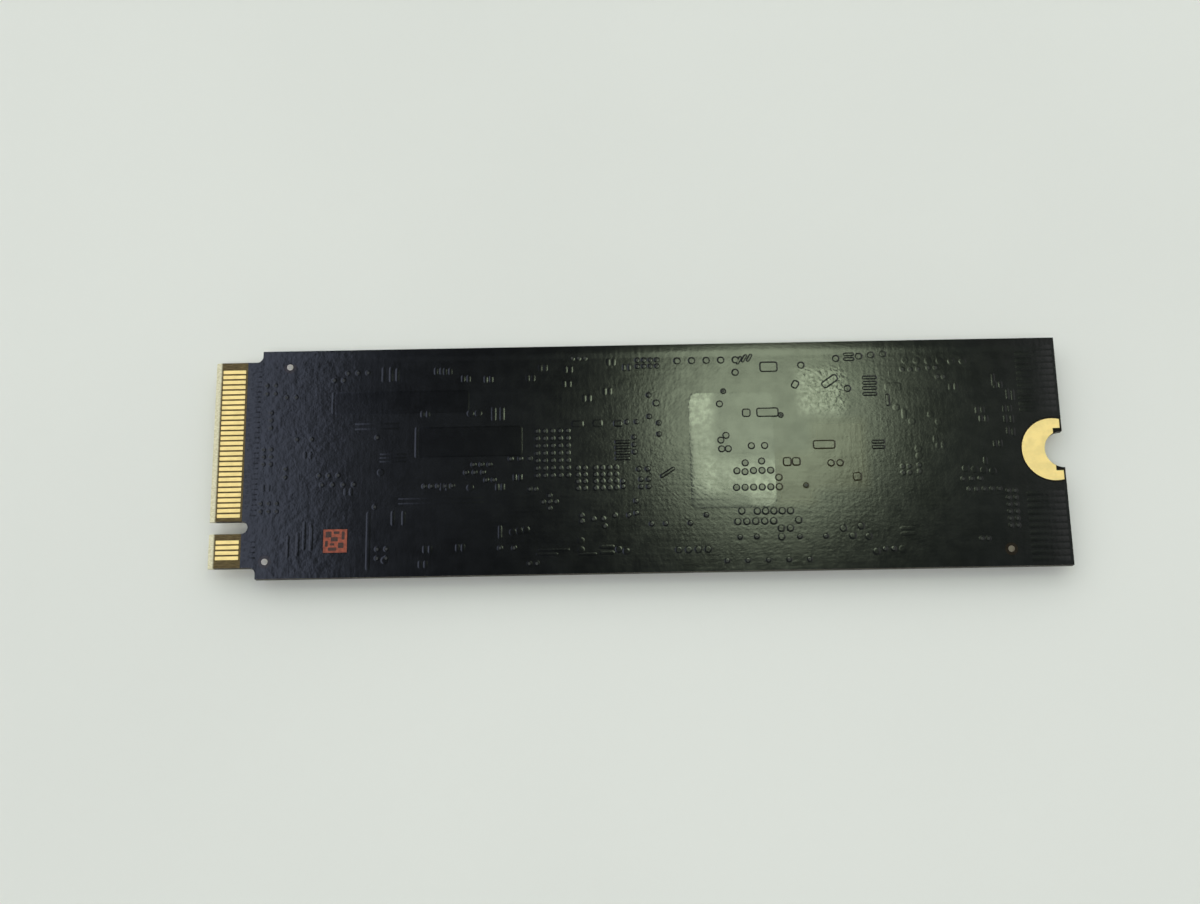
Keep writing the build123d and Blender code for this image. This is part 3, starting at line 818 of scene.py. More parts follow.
class Finish(Shading):
    """A material with its shader."""

    def __init__(self, name):
        self.material = bpy.data.materials.new(name)
        self.material.use_nodes = True
        super().__init__(self.material.node_tree)
        self.shader = self.tree.nodes["Principled BSDF"]
        self.place = self.add("ShaderNodeTexCoord").outputs["Object"]

    def set(self, **sockets):
        """Sets or links the shader's sockets, named with underscores for spaces."""
        for key, value in sockets.items():
            self.put(self.shader.inputs[key.replace("_", " ")], value)

    def held(self, key):
        """What is linked to a socket of the shader."""
        return self.shader.inputs[key].links[0].from_socket

    def noise(self, size, detail=2.0, stretch=(1.0, 1.0, 1.0), rough=0.5):
        """Noise whose features are about the given size, in metres, drawn out along the stretched axes."""
        mapped = self.add("ShaderNodeMapping", {"Vector": self.place, "Scale": [1 / s for s in stretch]})
        inputs = {"Vector": mapped.outputs[0], "Scale": 1 / size, "Detail": detail, "Roughness": rough}
        return self.add("ShaderNodeTexNoise", inputs).outputs["Fac"]

    def bands(self, pitch, axis):
        """Even waves of the given pitch along an axis."""
        inputs = {"Vector": self.place, "Scale": 2 * math.pi / 20 / pitch}
        return self.add("ShaderNodeTexWave", inputs, bands_direction=axis).outputs["Fac"]

    def sum(self, first, second, share=0.5):
        """A pattern plus a share of another one."""
        return self.math("ADD", first, self.math("MULTIPLY", second, share))

    def tones(self, pattern, dark, pale):
        """Colour that goes from dark to pale with a pattern."""
        return self.blend(self.between(pattern, 0, 1), dark, pale)

    def along(self, axis):
        """Object coordinate along an axis."""
        return self.add("ShaderNodeSeparateXYZ", {"Vector": self.place}).outputs[axis]

    def places(self, spans):
        """Sum of soft-edged rectangles given by low x, low y, high x, high y in mm."""
        total = 0.0
        for low_x, low_y, high_x, high_y in spans:
            made = 1.0
            for axis, low, high in (("X", low_x, high_x), ("Y", low_y, high_y)):
                here = self.along(axis)
                for edge, start, end in ((low, 0, 1), (high, 1, 0)):
                    soft = self.between(here, start, end, (edge - PLACE_EDGE) * MM, (edge + PLACE_EDGE) * MM)
                    made = self.math("MULTIPLY", soft, made)
            total = self.math("ADD", made, total)
        return total

    def bump(self, height, distance, below=None):
        """Bump of a height pattern, in metres, on top of another bump."""
        inputs = {"Height": height, "Distance": distance, "Strength": 1.0}
        if below is not None:
            inputs["Normal"] = below
        return self.add("ShaderNodeBump", inputs).outputs[0]


def shaded(colour, share):
    """A colour made darker or lighter by a share."""
    return tuple(min(1.0, part * share) for part in colour)


finishes = {}


def finish(name):
    """The material of that name, made by its function the first time."""
    if name not in finishes:
        finishes[name] = FINISH_MAKERS[name](name)
    return finishes[name]


def lacquer_finish(name, share=1.0, shine=0.5):
    """Black solder lacquer: satin, a little cloudy, with the glass weave and a fine peel in its surface."""
    settings = bpy.context.scene.drive_lacquer
    colour = shaded(tuple(settings.colour), share)
    made = Finish(name)
    cloud = made.noise(3.5 * MM, 3.0)
    weave = made.sum(made.bands(0.52 * MM, "X"), made.bands(0.48 * MM, "Y"), 1.0)
    relief = made.bump(cloud, 0.003 * MM)
    relief = made.bump(weave, 0.0003 * MM, relief)
    relief = made.bump(made.noise(0.45 * MM), 0.0038 * MM, relief)
    relief = made.bump(made.noise(0.22 * MM), 0.0019 * MM, relief)
    made.set(
        Base_Color=made.tones(cloud, shaded(colour, 0.75), shaded(colour, 1.3)),
        Roughness=made.between(made.noise(1.2 * MM), settings.gloss - 0.015, settings.gloss + 0.015),
        Specular_IOR_Level=shine,
        Normal=relief,
    )
    return made


def black_lacquer(name):
    return lacquer_finish(name).material


def polished(made, places, grain, weight):
    """Makes the lacquer smoother, with a thin clear coat in blotches, over soft-edged places."""
    inside = made.places(places)
    blotches = made.math("MULTIPLY", inside, made.between(made.noise(grain, 3.0), 0.0, weight))
    smoother = made.math("SUBTRACT", made.held("Roughness"), made.math("MULTIPLY", inside, POLISH))
    made.set(
        Roughness=made.math("MAXIMUM", smoother, SMOOTHEST),
        Coat_Weight=blotches,
        Coat_IOR=COAT_DENSITY,
        Coat_Roughness=bpy.context.scene.drive_lacquer.gloss,
        Coat_Normal=made.held("Normal"),
    )
    return made.material


def toned_lacquer(name):
    """Lacquer of the bare side: warm where the laminate shines through, coarse and glossy on hatched copper.

    By the contacts it is uneven."""
    made = lacquer_finish(name)
    grain = made.math("MULTIPLY", made.noise(0.35 * MM, 3.0), made.places(COARSE_PLACES))
    by_contacts = made.between(made.along("X"), 1, 0, UNEVEN_END[0] * MM, UNEVEN_END[1] * MM)
    uneven = made.math("MULTIPLY", made.noise(0.8 * MM, 3.0), by_contacts)
    made.set(
        Base_Color=made.blend(made.places(WARM_PLACES), made.held("Base Color"), (0.020, 0.017, 0.007)),
        Normal=made.bump(uneven, 0.017 * MM, made.bump(grain, 0.014 * MM, made.held("Normal"))),
    )
    return polished(made, COARSE_PLACES, 0.40 * MM, 0.20)


def bright_lacquer(name):
    """Lacquer right on copper: paler, and more mirror-like where the copper is thickest."""
    return polished(lacquer_finish(name, 2.5, 0.56), GLOSSY_PLACES, 0.50 * MM, 0.12)


def blank_ink(name):
    """Printed panel: a denser, darker film of ink."""
    return lacquer_finish(name, 0.7, 0.42).material


def laminate(name):
    """Glass laminate: olive brown faces with the weave, pale on the bevel, layered and dark on cut sides."""
    made = Finish(name)
    weave = made.sum(made.bands(0.30 * MM, "X"), made.bands(0.34 * MM, "Y"), 1.0)
    fibres = made.noise(0.10 * MM, 3.0, (6.0, 1.0, 1.0))
    layers = made.bands(0.105 * MM, "Z")
    faces = made.tones(fibres, (0.070, 0.050, 0.020), (0.150, 0.112, 0.048))
    sawn = made.between(made.sum(layers, fibres), 0, 1, 0.2, 1.3)
    cut = made.blend(sawn, (0.016, 0.014, 0.010), (0.075, 0.062, 0.038))
    normal = made.add("ShaderNodeNewGeometry").outputs["Normal"]
    upright = made.add("ShaderNodeSeparateXYZ", {"Vector": normal}).outputs["Z"]
    steep = made.add("ShaderNodeMath", operation="ABSOLUTE")
    made.put(steep.inputs[0], upright)
    sides = made.between(steep.outputs[0], 1, 0, 0.30, 0.40)
    tongue_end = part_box("solder_mask_bare_side")[0].x + 1.0 * MM
    covered = made.between(made.along("X"), 0, 1, tongue_end, tongue_end + 0.1 * MM)
    faces = made.blend(covered, faces, (0.008, 0.007, 0.006))
    window = made.math("MULTIPLY", covered, made.math("SUBTRACT", 1.0, sides))
    body = made.blend(sides, faces, cut)
    bevel_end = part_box("contact_fingers_bare_side")[0].x
    ground = made.between(made.along("X"), 1, 0, bevel_end - 0.28 * MM, bevel_end - 0.06 * MM)
    pale = made.tones(fibres, (0.62, 0.57, 0.36), (0.84, 0.80, 0.60))
    smoother = made.math("MULTIPLY", window, 0.3)
    made.set(
        Base_Color=made.blend(ground, body, pale),
        Roughness=made.math("SUBTRACT", made.between(fibres, 0.42, 0.65), smoother),
        Specular_IOR_Level=0.15,
        Normal=made.bump(fibres, 0.003 * MM, made.bump(made.sum(weave, layers), 0.001 * MM)),
    )
    return made.material


def window_laminate(name):
    """Bare laminate in the windows of the lacquer: brown, and as glossy as the lacquer."""
    made = lacquer_finish(name)
    made.set(Base_Color=made.blend(made.noise(0.2 * MM, 3.0), (0.006, 0.004, 0.002), (0.018, 0.010, 0.005)))
    return made.material


def gold(name):
    """Gold plate: satin, with fine rub marks along the card and slight clouding."""
    made = Finish(name)
    colour = tuple(bpy.context.scene.drive_metal.gold)
    cloud = made.noise(0.8 * MM, 3.0)
    rub = made.noise(0.03 * MM, 2.0, (30.0, 1.0, 1.0))
    made.set(
        Base_Color=made.tones(cloud, shaded(colour, 0.90), colour),
        Metallic=1.0,
        Roughness=made.between(rub, 0.48, 0.62),
        Normal=made.bump(rub, 0.0008 * MM, made.bump(cloud, 0.004 * MM)),
    )
    return made.material


def metal_finish(name, colour, low, high, grain, depth):
    """Dull white metal with a crystalline grain."""
    made = Finish(name)
    cells = made.add("ShaderNodeTexVoronoi", {"Vector": made.place, "Scale": 1 / grain})
    cloud = made.noise(3 * grain, 3.0)
    crystals = made.sum(cloud, cells.outputs["Distance"])
    made.set(
        Base_Color=made.tones(cloud, shaded(colour, 0.80), colour),
        Metallic=1.0,
        Roughness=made.between(crystals, low, high, 0.2, 1.0),
        Normal=made.bump(crystals, depth),
    )
    return made


def tin(name):
    colour = tuple(bpy.context.scene.drive_metal.tin)
    return metal_finish(name, colour, 0.30, 0.48, 0.06 * MM, 0.003 * MM).material


def tin_darker_at_screw_end(name):
    """Dull tin, darker towards the screw end."""
    made = metal_finish(name, (0.40, 0.38, 0.35), 0.34, 0.48, 0.06 * MM, 0.002 * MM)
    darker_to_screw_end = made.between(made.along("X"), 0, 1, 0, 30 * MM)
    made.set(Base_Color=made.blend(darker_to_screw_end, made.held("Base Color"), (0.17, 0.15, 0.12)))
    return made.material


def solder(name):
    colour = tuple(bpy.context.scene.drive_metal.solder)
    return metal_finish(name, colour, 0.20, 0.38, 0.09 * MM, 0.004 * MM).material


def lid_metal(name):
    return metal_finish(name, (0.70, 0.67, 0.60), 0.26, 0.40, 0.12 * MM, 0.002 * MM).material


def copper_field(name):
    """Copper under a thin clear film, mottled."""
    made = Finish(name)
    colour = tuple(bpy.context.scene.drive_metal.copper)
    mottle = made.noise(0.35 * MM, 3.0)
    made.set(
        Base_Color=made.tones(mottle, shaded(colour, 0.72), shaded(colour, 1.2)),
        Metallic=0.35,
        Roughness=made.between(mottle, 0.34, 0.5),
        Normal=made.bump(mottle, 0.004 * MM),
    )
    return made.material


def copper_dark(name):
    """Darkened copper of the shapes on the field."""
    made = Finish(name)
    mottle = made.noise(0.2 * MM, 3.0)
    made.set(
        Base_Color=made.tones(mottle, (0.020, 0.010, 0.008), (0.06, 0.022, 0.015)),
        Metallic=0.2,
        Roughness=made.between(mottle, 0.4, 0.6),
        Normal=made.bump(mottle, 0.003 * MM),
    )
    return made.material


def grained(name, dark, pale, grain, low, high, depth):
    """Moulded or fired surface: two tones mixed by a fine grain that also pits it."""
    made = Finish(name)
    fine = made.noise(grain, 4.0, rough=0.65)
    broad = made.noise(12 * grain, 2.0)
    tone = made.between(made.sum(fine, broad, 0.6), 0, 1, 0.45, 1.15)
    made.set(
        Base_Color=made.blend(tone, dark, pale),
        Roughness=made.between(fine, low, high),
        Normal=made.bump(fine, depth),
    )
    return made.material


def mould(name):
    colour = tuple(bpy.context.scene.drive_package.mould)
    return grained(name, shaded(colour, 0.7), shaded(colour, 1.5), 0.07 * MM, 0.48, 0.66, 0.006 * MM)


def ceramic(name):
    colour = tuple(bpy.context.scene.drive_package.ceramic)
    return grained(name, shaded(colour, 0.75), shaded(colour, 1.2), 0.05 * MM, 0.34, 0.5, 0.003 * MM)


def grained_finish(name):
    """The grained finish that the table gives under a name."""
    dark, pale, grain, low, high, depth = GRAINED[name]
    return grained(name, dark, pale, grain * MM, low, high, depth * MM)


def substrate(name):
    """Sawn package laminate: green resin with pale glass layers."""
    made = Finish(name)
    layers = made.bands(0.05 * MM, "Z")
    fibres = made.noise(0.06 * MM, 3.0)
    tone = made.between(made.sum(layers, fibres), 0, 1, 0.2, 1.3)
    made.set(
        Base_Color=made.blend(tone, (0.016, 0.040, 0.022), (0.055, 0.105, 0.060)),
        Roughness=made.between(fibres, 0.45, 0.6),
        Normal=made.bump(tone, 0.003 * MM),
    )
    return made.material


def table_top(name):
    """Smooth pale table with a faint cloudiness."""
    made = Finish(name)
    colour = tuple(bpy.context.scene.drive_stage.table)
    cloud = made.noise(60 * MM, 2.0)
    made.set(
        Base_Color=made.tones(cloud, shaded(colour, 0.98), shaded(colour, 1.01)),
        Roughness=0.7,
        Specular_IOR_Level=0.1,
    )
    return made.material


LACQUERS = {"bare_side": "toned_lacquer", "component_side": "black_lacquer"}

FINISH_MAKERS = {
    "black_lacquer": black_lacquer,
    "toned_lacquer": toned_lacquer,
    "bright_lacquer": bright_lacquer,
    "blank_ink": blank_ink,
    "glass_laminate": laminate,
    "window_laminate": window_laminate,
    "gold_plate": gold,
    "dull_tin": tin,
    "tin_darker_at_screw_end": tin_darker_at_screw_end,
    "solder_metal": solder,
    "lid_metal": lid_metal,
    "copper_field": copper_field,
    "copper_dark": copper_dark,
    "moulded_cap": mould,
    "fired_ceramic": ceramic,
    "package_laminate": substrate,
    "table_top": table_top,
    **dict.fromkeys(GRAINED, grained_finish),
}


# Relief of both faces


def face_height(side):
    """Height of the lacquer's outer face: on the bare side it is the laminate's face plus the film."""
    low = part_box(f"solder_mask_{side}")[0].z
    return low + bpy.context.scene.drive_lacquer.film if side == "bare_side" else low


def laid_on(side, shape):
    """A shape that rises from height 0, laid on a face of the card, turned over for the component side."""
    points, faces = shape
    if side == "component_side":
        points = points * np.array([1, 1, -1])
        faces = [face[:, ::-1] for face in faces]
    return points + np.array([0, 0, face_height(side)]), faces


def covered_step(height, slope):
    """Profile of a lacquered copper edge: out of the film, up a soft slope and in on top."""
    heights = np.array(EDGE_HEIGHTS) * height
    heights[0] -= EDGE_FOOT * MM
    return np.column_stack([np.array(EDGE_OFFSETS) * slope, heights])


def low_step(foot, shoulder, top, inset):
    """Profile of a low step, in mm: straight from its foot to the shoulder, then in to the top."""
    return np.array([(0.0, foot), (0.0, shoulder), (-inset, top)]) * MM


def profiles(offsets, heights):
    """One profile for each row of heights, with the same offsets in all of them."""
    return np.stack([np.broadcast_to(offsets, heights.shape), heights], axis=-1)


def copper_share(places):
    """Height of the copper at places in metres, as a share of the full step."""
    return np.array(COPPER_SHARES)[np.searchsorted(COPPER_BOUNDS, places[:, 0] / MM)]


def covered_pads(name, side, places, sizes, corners, turns=0.0, steps=3):
    """Pads under the lacquer: rounded outlines carried up the covered step, with half the slope outside."""
    settings = bpy.context.scene.drive_lacquer
    places = np.asarray(places, float) * MM
    centres = np.column_stack([places, np.zeros(len(places))])
    tops = np.asarray(sizes, float) * MM / 2 - settings.slope / 2
    halves = np.broadcast_to(np.maximum(tops, NARROWEST_TOP * settings.slope), places.shape)
    corners = np.minimum(np.asarray(corners, float) * MM, ROUNDEST * halves.min(axis=1))
    offsets, heights = covered_step(settings.pad_step, settings.slope).T
    profile = profiles(offsets, copper_share(places)[:, None] * heights)
    shape = carried_outlines(centres, halves, corners, np.radians(turns), profile, steps)
    return add_piece(name, [laid_on(side, shape)], finish(LACQUERS[side]))


def via_plugs(name, side, places):
    """Matt plugs in the tops of vias: circles carried up a low step and in."""
    places = np.asarray(places, float) * MM
    tops = copper_share(places) * bpy.context.scene.drive_lacquer.pad_step
    half = VIA_PLUG_WIDTH / 2 * MM
    rise = low_step(-VIA_PLUG_STEP, VIA_PLUG_STEP / 2, VIA_PLUG_STEP, VIA_PLUG_INSET)
    shape = carried_outlines(np.column_stack([places, tops]), half, ROUNDEST * half, 0.0, rise, 2)
    return add_piece(name, [laid_on(side, shape)], finish("via_resin"))


def spread_rows(rows):
    """Places of rows that are given by a first place, a count and a step."""
    return np.concatenate(
        [np.array([x, y]) + np.arange(count)[:, None] * np.array([dx, dy]) for x, y, count, dx, dy in rows]
    )


def spread_grids(grids):
    """Places of grids that are given by a first place, columns, rows and a pitch, downwards."""
    made = []
    for x, y, columns, rows, pitch in grids:
        across, down = np.meshgrid(np.arange(columns), np.arange(rows))
        made.append(np.column_stack([x + across.ravel() * pitch, y - down.ravel() * pitch]))
    return np.concatenate(made)


class DRIVE_OT_stage(bpy.types.Operator):
    """Adds the table, the lights and the camera"""

    bl_idname = "drive_card.stage"
    bl_label = "Stage"

    def execute(self, context):
        scene = context.scene
        settings = scene.drive_stage
        scene.view_settings.view_transform = "Standard"
        self.table(scene)
        self.room(scene, settings)
        self.lamps(scene, settings)
        self.camera(scene)
        return {"FINISHED"}

    def table(self, scene):
        """A flat square under the card."""
        points = np.array([(-1, -1, 0), (1, -1, 0), (1, 1, 0), (-1, 1, 0)]) * TABLE_REACH
        points[:, 2] = cad_low.z - TABLE_GAP * MM
        mesh = bpy.data.meshes.new("table")
        mesh.from_pydata(points.tolist(), [], [(0, 1, 2, 3)])
        mesh.materials.append(finish("table_top"))
        table = bpy.data.objects.new("table", mesh)
        scene.collection.objects.link(table)

    def room(self, scene, settings):
        """Room light in the terms of its mirror image on the lacquer.

        A direction (x, y, z) is the mirror image of the place 136.3 * (x, y) / z - (2.97, 34.09) mm of the
        card. Over the card there is a dim window, brighter along its middle and by the contacts, with a
        bright strip on its near side. Beyond them the room is brighter towards the far side, and the
        horizon is plain and pale."""
        world = scene.world or bpy.data.worlds.new("room")
        scene.world = world
        world.use_nodes = True
        room = Shading(world.node_tree)
        room.tree.nodes.clear()
        sight = room.add("ShaderNodeTexCoord").outputs["Generated"]
        direction = room.add("ShaderNodeSeparateXYZ", {"Vector": sight})
        rise = room.math("MAXIMUM", direction.outputs["Z"], LOWEST_RISE)
        x = self.mirrored(room, direction.outputs["X"], rise, CAMERA_PLACE.x)
        y = self.mirrored(room, direction.outputs["Y"], rise, CAMERA_PLACE.y)
        across = room.bounded(x, WINDOW_LEFT, WINDOW_RIGHT)
        inside = room.math("MULTIPLY", across, room.bounded(y, WINDOW_NEAR, WINDOW_FAR))
        overhead = room.math("MULTIPLY", room.bounded(y, STRIP_NEAR, WINDOW_NEAR), across)
        middle = room.bounded(y, (-MIDDLE_REACH, 0), (0, MIDDLE_REACH))
        level = room.between(x, *WINDOW_LEVELS, *SCREW_END_TURN)
        level = room.math("ADD", room.math("MULTIPLY", middle, MIDDLE_LEVEL), level)
        window = room.blend(room.between(x, 0, 1, *TINT_TURN), BLUE_TINT, GREEN_TINT)
        window = room.blend(1.0, window, level, "MULTIPLY")
        window = room.blend(room.between(x, 1, 0, *CONTACTS_TURN), window, CONTACTS_TINT)
        side = room.between(direction.outputs["X"], 0, 1, *SIDE_SPAN)
        depth = room.between(direction.outputs["Y"], *DEPTH_LEVELS, *DEPTH_SPAN)
        depth = room.math("ADD", depth, room.math("MULTIPLY", overhead, STRIP_LEVEL))
        outside = room.blend(1.0, room.blend(side, LEFT_TINT, RIGHT_TINT), depth, "MULTIPLY")
        horizon = room.between(direction.outputs["Z"], 1, 0, *HORIZON_SPAN)
        colour = room.blend(horizon, room.blend(inside, outside, window), HORIZON_TINT)
        light = room.add("ShaderNodeBackground", {"Color": colour, "Strength": settings.room})
        room.add("ShaderNodeOutputWorld", {"Surface": light.outputs[0]})

    def mirrored(self, room, part, rise, camera):
        """Place on the card, in mm, whose mirror image lies in a direction."""
        tall = (CAMERA_PLACE.z - cad_high.z) / MM
        return room.math("ADD", room.math("MULTIPLY", room.math("DIVIDE", part, rise), tall), camera / MM)

    def lamps(self, scene, settings):
        """A round ceiling light whose mirror image lies on the lacquer."""
        glint = Vector((GLINT_POINT[0] * MM, GLINT_POINT[1] * MM, cad_high.z))
        mirrored = (glint - CAMERA_PLACE).normalized()
        mirrored.z = -mirrored.z
        light = bpy.data.lights.new("ceiling_light", "AREA")
        light.shape = "DISK"
        light.size = settings.lamp_width
        light.energy = settings.key
        light.color = LAMP_COLOUR
        lamp = bpy.data.objects.new("ceiling_light", light)
        lamp.location = glint + settings.lamp_distance * mirrored
        lamp.rotation_mode = "QUATERNION"
        lamp.rotation_quaternion = (-mirrored).to_track_quat("-Z", "Y")
        scene.collection.objects.link(lamp)

    def camera(self, scene):
        view = CAMERA_VIEW.normalized()
        right = view.cross(CAMERA_UP).normalized()
        up = right.cross(view)
        data = bpy.data.cameras.new("photo_camera")
        data.sensor_fit = "HORIZONTAL"
        data.sensor_width = CAMERA_SENSOR
        data.lens = CAMERA_LENS
        data.clip_start, data.clip_end = CAMERA_CLIP
        camera = bpy.data.objects.new("photo_camera", data)
        turn = Matrix((right, up, -view)).transposed()
        camera.matrix_world = Matrix.Translation(CAMERA_PLACE) @ turn.to_4x4()
        scene.collection.objects.link(camera)
        scene.camera = camera


class DRIVE_OT_board(bpy.types.Operator):
    """Gives the laminate its finish and lays the lacquer films on both faces"""

    bl_idname = "drive_card.board"
    bl_label = "Board and lacquer"

    def execute(self, context):
        paint(finish("glass_laminate"), "circuit_board")
        paint(finish("black_lacquer"), "solder_mask_component_side")
        points, triangles = merged_mesh("solder_mask_bare_side")
        points[points[:, 2] > points[:, 2].mean(), 2] = face_height("bare_side")
        add_piece(
            "lacquer_bare_side",
            [(points, [triangles])],
            finish("toned_lacquer"),
            ("solder_mask_bare_side",),
            smooth=False,
        )
        return {"FINISHED"}


class DRIVE_OT_flat_places(bpy.types.Operator):
    """Adds the copper areas under the lacquer and the blank printed panels on it"""

    bl_idname = "drive_card.flat_places"
    bl_label = "Copper areas and panels"

    def execute(self, context):
        for name, look, step, slope, corner, spans in FLAT_PLACES:
            spans = np.array(spans) * MM
            centres = np.column_stack([(spans[:, :2] + spans[:, 2:]) / 2, np.zeros(len(spans))])
            halves = (spans[:, 2:] - spans[:, :2]) / 2 - slope / 2 * MM
            profile = covered_step(step * MM, slope * MM)
            shape = carried_outlines(centres, halves, corner * MM, 0.0, profile)
            add_piece(name, [laid_on("bare_side", shape)], finish(look))
        return {"FINISHED"}


class DRIVE_OT_covered_pads(bpy.types.Operator):
    """Adds the pads and vias that show through the lacquer"""

    bl_idname = "drive_card.covered_pads"
    bl_label = "Covered pads and vias"

    def execute(self, context):
        face = "bare_side"
        covered_pads("round_pads", face, spread_rows(ROUND_PAD_ROWS), ROUND_WIDTH, ROUND_WIDTH / 2, steps=5)
        vias = spread_grids(VIA_GRIDS)
        covered_pads("vias", face, vias, VIA_WIDTH, VIA_WIDTH / 2)
        via_plugs("via_plugs", face, vias)
        oblongs = np.array(OBLONG_PADS)
        corners = np.minimum(oblongs[:, 3] * OBLONG_CORNER_SHARE, OBLONG_CORNER)
        covered_pads("oblong_pads", face, oblongs[:, :2], oblongs[:, 2:4], corners, oblongs[:, 4])
        pairs = np.array(PAD_PAIRS)
        gap = np.array([PAD_PAIR_GAP / 2, 0.0])
        both = np.concatenate([pairs - gap, pairs + gap])
        covered_pads("paired_pads", face, both, (PAD_PAIR_WIDTH, PAD_PAIR_LENGTH), PAD_PAIR_CORNER)
        lower = spread_rows(LOWER_VIA_ROWS)
        covered_pads("vias_component_side", "component_side", lower, VIA_WIDTH, VIA_WIDTH / 2)
        return {"FINISHED"}


class DRIVE_OT_traces(bpy.types.Operator):
    """Adds the traces that show through the lacquer, and the ridges at the screw end"""

    bl_idname = "drive_card.traces"
    bl_label = "Covered traces"

    def execute(self, context):
        section = (TRACE_WIDTH, TRACE_SLOPE)
        upper = [*self.side_by_side(TRACE_BUNDLES), *self.tails("bare_side")]
        self.ridges("traces", "bare_side", upper, *section, TRACE_STEP)
        lower = [*self.side_by_side(LOWER_TRACE_BUNDLES), *self.tails("component_side")]
        self.ridges("traces_component_side", "component_side", lower, *section, LOWER_TRACE_STEP)
        across = [np.arange(first, last, SCREW_RIDGE_PITCH) for first, last in SCREW_RIDGE_SPANS]
        lines = [[(x, y) for x in SCREW_RIDGE_ENDS] for y in np.concatenate(across)]
        section = (SCREW_RIDGE_WIDTH, SCREW_RIDGE_SLOPE)
        self.ridges("screw_end_ridges", "bare_side", lines, *section, SCREW_RIDGE_STEP)
        self.bead()
        return {"FINISHED"}

    def bead(self):
        """A low bead of lacquer along the far edge of the card.

        Across it, the height rises by half a cosine wave to the crest and falls by a quarter wave to the
        edge."""
        share = np.linspace(0.0, 1.0, 15)
        inner = 0.5 - 0.5 * np.cos(math.pi * share / BEAD_CREST)
        outer = np.cos(RIGHT_ANGLE * (share - BEAD_CREST) / (1 - BEAD_CREST))
        rise = np.where(share < BEAD_CREST, inner, outer)
        width = BEAD_WIDTH * MM
        line = [(x * MM, cad_high.y) for x in BEAD_ENDS]
        shape = carried_ridge(line, (share - 1) * width, rise, BEAD_HEIGHT * MM, BEAD_SINK * MM, width)
        add_piece("edge_bead", [laid_on("bare_side", shape)], finish(LACQUERS["bare_side"]))

    def side_by_side(self, bundles):
        """Lines of the bundles, each bundle centred on its own line."""
        for line, count, pitch in bundles:
            for i in range(count):
                yield beside(line, (i - (count - 1) / 2) * pitch)

    def tails(self, side):
        """Short lines that lead on from the contact fingers."""
        low, high = solids(f"contact_fingers_{side}")
        for x, y in zip(high[:, 0] / MM, (low + high)[:, 1] / 2 / MM):
            yield [(x + TAIL_ENDS[0], y), (x + TAIL_ENDS[1], y)]

    def ridges(self, name, side, lines, width, slope, step):
        """Ridges of a trapezium section along lines in mm, as one piece."""
        half = width / 2
        offsets = np.array([-half - slope, -half, half, half + slope]) * MM
        rise = np.array([0.0, 1.0, 1.0, 0.0])
        shapes = []
        for line in lines:
            line = np.asarray(line) * MM
            shape = carried_ridge(line, offsets, rise, step * MM, RIDGE_SINK * MM, slope * MM)
            shapes.append(laid_on(side, shape))
        add_piece(name, shapes, finish(LACQUERS[side]))


class DRIVE_OT_contacts(bpy.types.Operator):
    """Builds the gold contact fingers with their plated edges and finishes the other bare metal"""

    bl_idname = "drive_card.contacts"
    bl_label = "Contacts, lands and marks"

    def execute(self, context):
        for side, hanging in (("bare_side", False), ("component_side", True)):
            node = f"contact_fingers_{side}"
            middle, size = seats(node, hanging)
            thick = size[0, 2]
            edge = FINGER_EDGE * MM
            rise = np.array([(0, 0), (0, thick - edge), (-edge, thick), (-FINGER_TOP * edge, thick)])
            if hanging:
                rise[:, 1] *= -1
            shape = carried_outlines(middle, size[:, :2] / 2, FINGER_CORNER * MM, 0.0, rise, 2)
            add_piece(f"fingers_{side}", [shape], finish("gold_plate"), (node,))
            paint(finish("gold_plate"), f"screw_land_{side}")
            self.dots(side, hanging)
        return {"FINISHED"}

    def dots(self, side, hanging):
        """Fiducial dots: a circle carried up to a rim, and on over a low dome of a quarter wave."""
        node = f"fiducials_{side}"
        middle, size = seats(node, hanging)
        half = size[0, 0] / 2
        thick = size[0, 2] * (-1 if hanging else 1)
        turn = np.linspace(0.0, RIGHT_ANGLE, 6)[:-1]
        dome = np.column_stack([half * (np.cos(turn) - 1), thick * (DOT_RIM + (1 - DOT_RIM) * np.sin(turn))])
        profile = np.concatenate([[(0.0, 0.0)], dome])
        shape = carried_outlines(middle, half, DOT_CORNER * half, 0.0, profile, 5)
        add_piece(f"dots_{side}", [shape], finish("tin_darker_at_screw_end"), (node,))
        if not hanging:
            self.windows(middle)

    def windows(self, middle):
        """Laminate in the windows of the lacquer round the dots: circles carried up a low step and in."""
        half = DOT_WINDOW_WIDTH / 2 * MM
        rise = low_step(-DOT_WINDOW_STEP, DOT_WINDOW_STEP, DOT_WINDOW_STEP, DOT_WINDOW_INSET)
        shape = carried_outlines(middle, half, DOT_CORNER * half, 0.0, rise, 6)
        add_piece("dot_windows", [shape], finish("window_laminate"))


class DRIVE_OT_copper_field(bpy.types.Operator):
    """Finishes the copper field and adds its plain shapes"""

    bl_idname = "drive_card.copper_field"
    bl_label = "Copper field"

    def execute(self, context):
        paint(finish("copper_field"), "code_patch")
        low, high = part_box("code_patch")
        shapes = np.array(FIELD_SHAPES) * MM
        middle = np.array((low + high) / 2)
        middle[2] = high.z
        centres = np.column_stack([shapes[:, :2], np.zeros(len(shapes))]) + middle
        rise = low_step(FIELD_FOOT, FIELD_SHOULDER, FIELD_TOP, FIELD_INSET)
        shape = carried_outlines(centres, shapes[:, 2:] / 2, FIELD_CORNER * MM, 0.0, rise)
        add_piece("field_shapes", [shape], finish("copper_dark"))
        return {"FINISHED"}


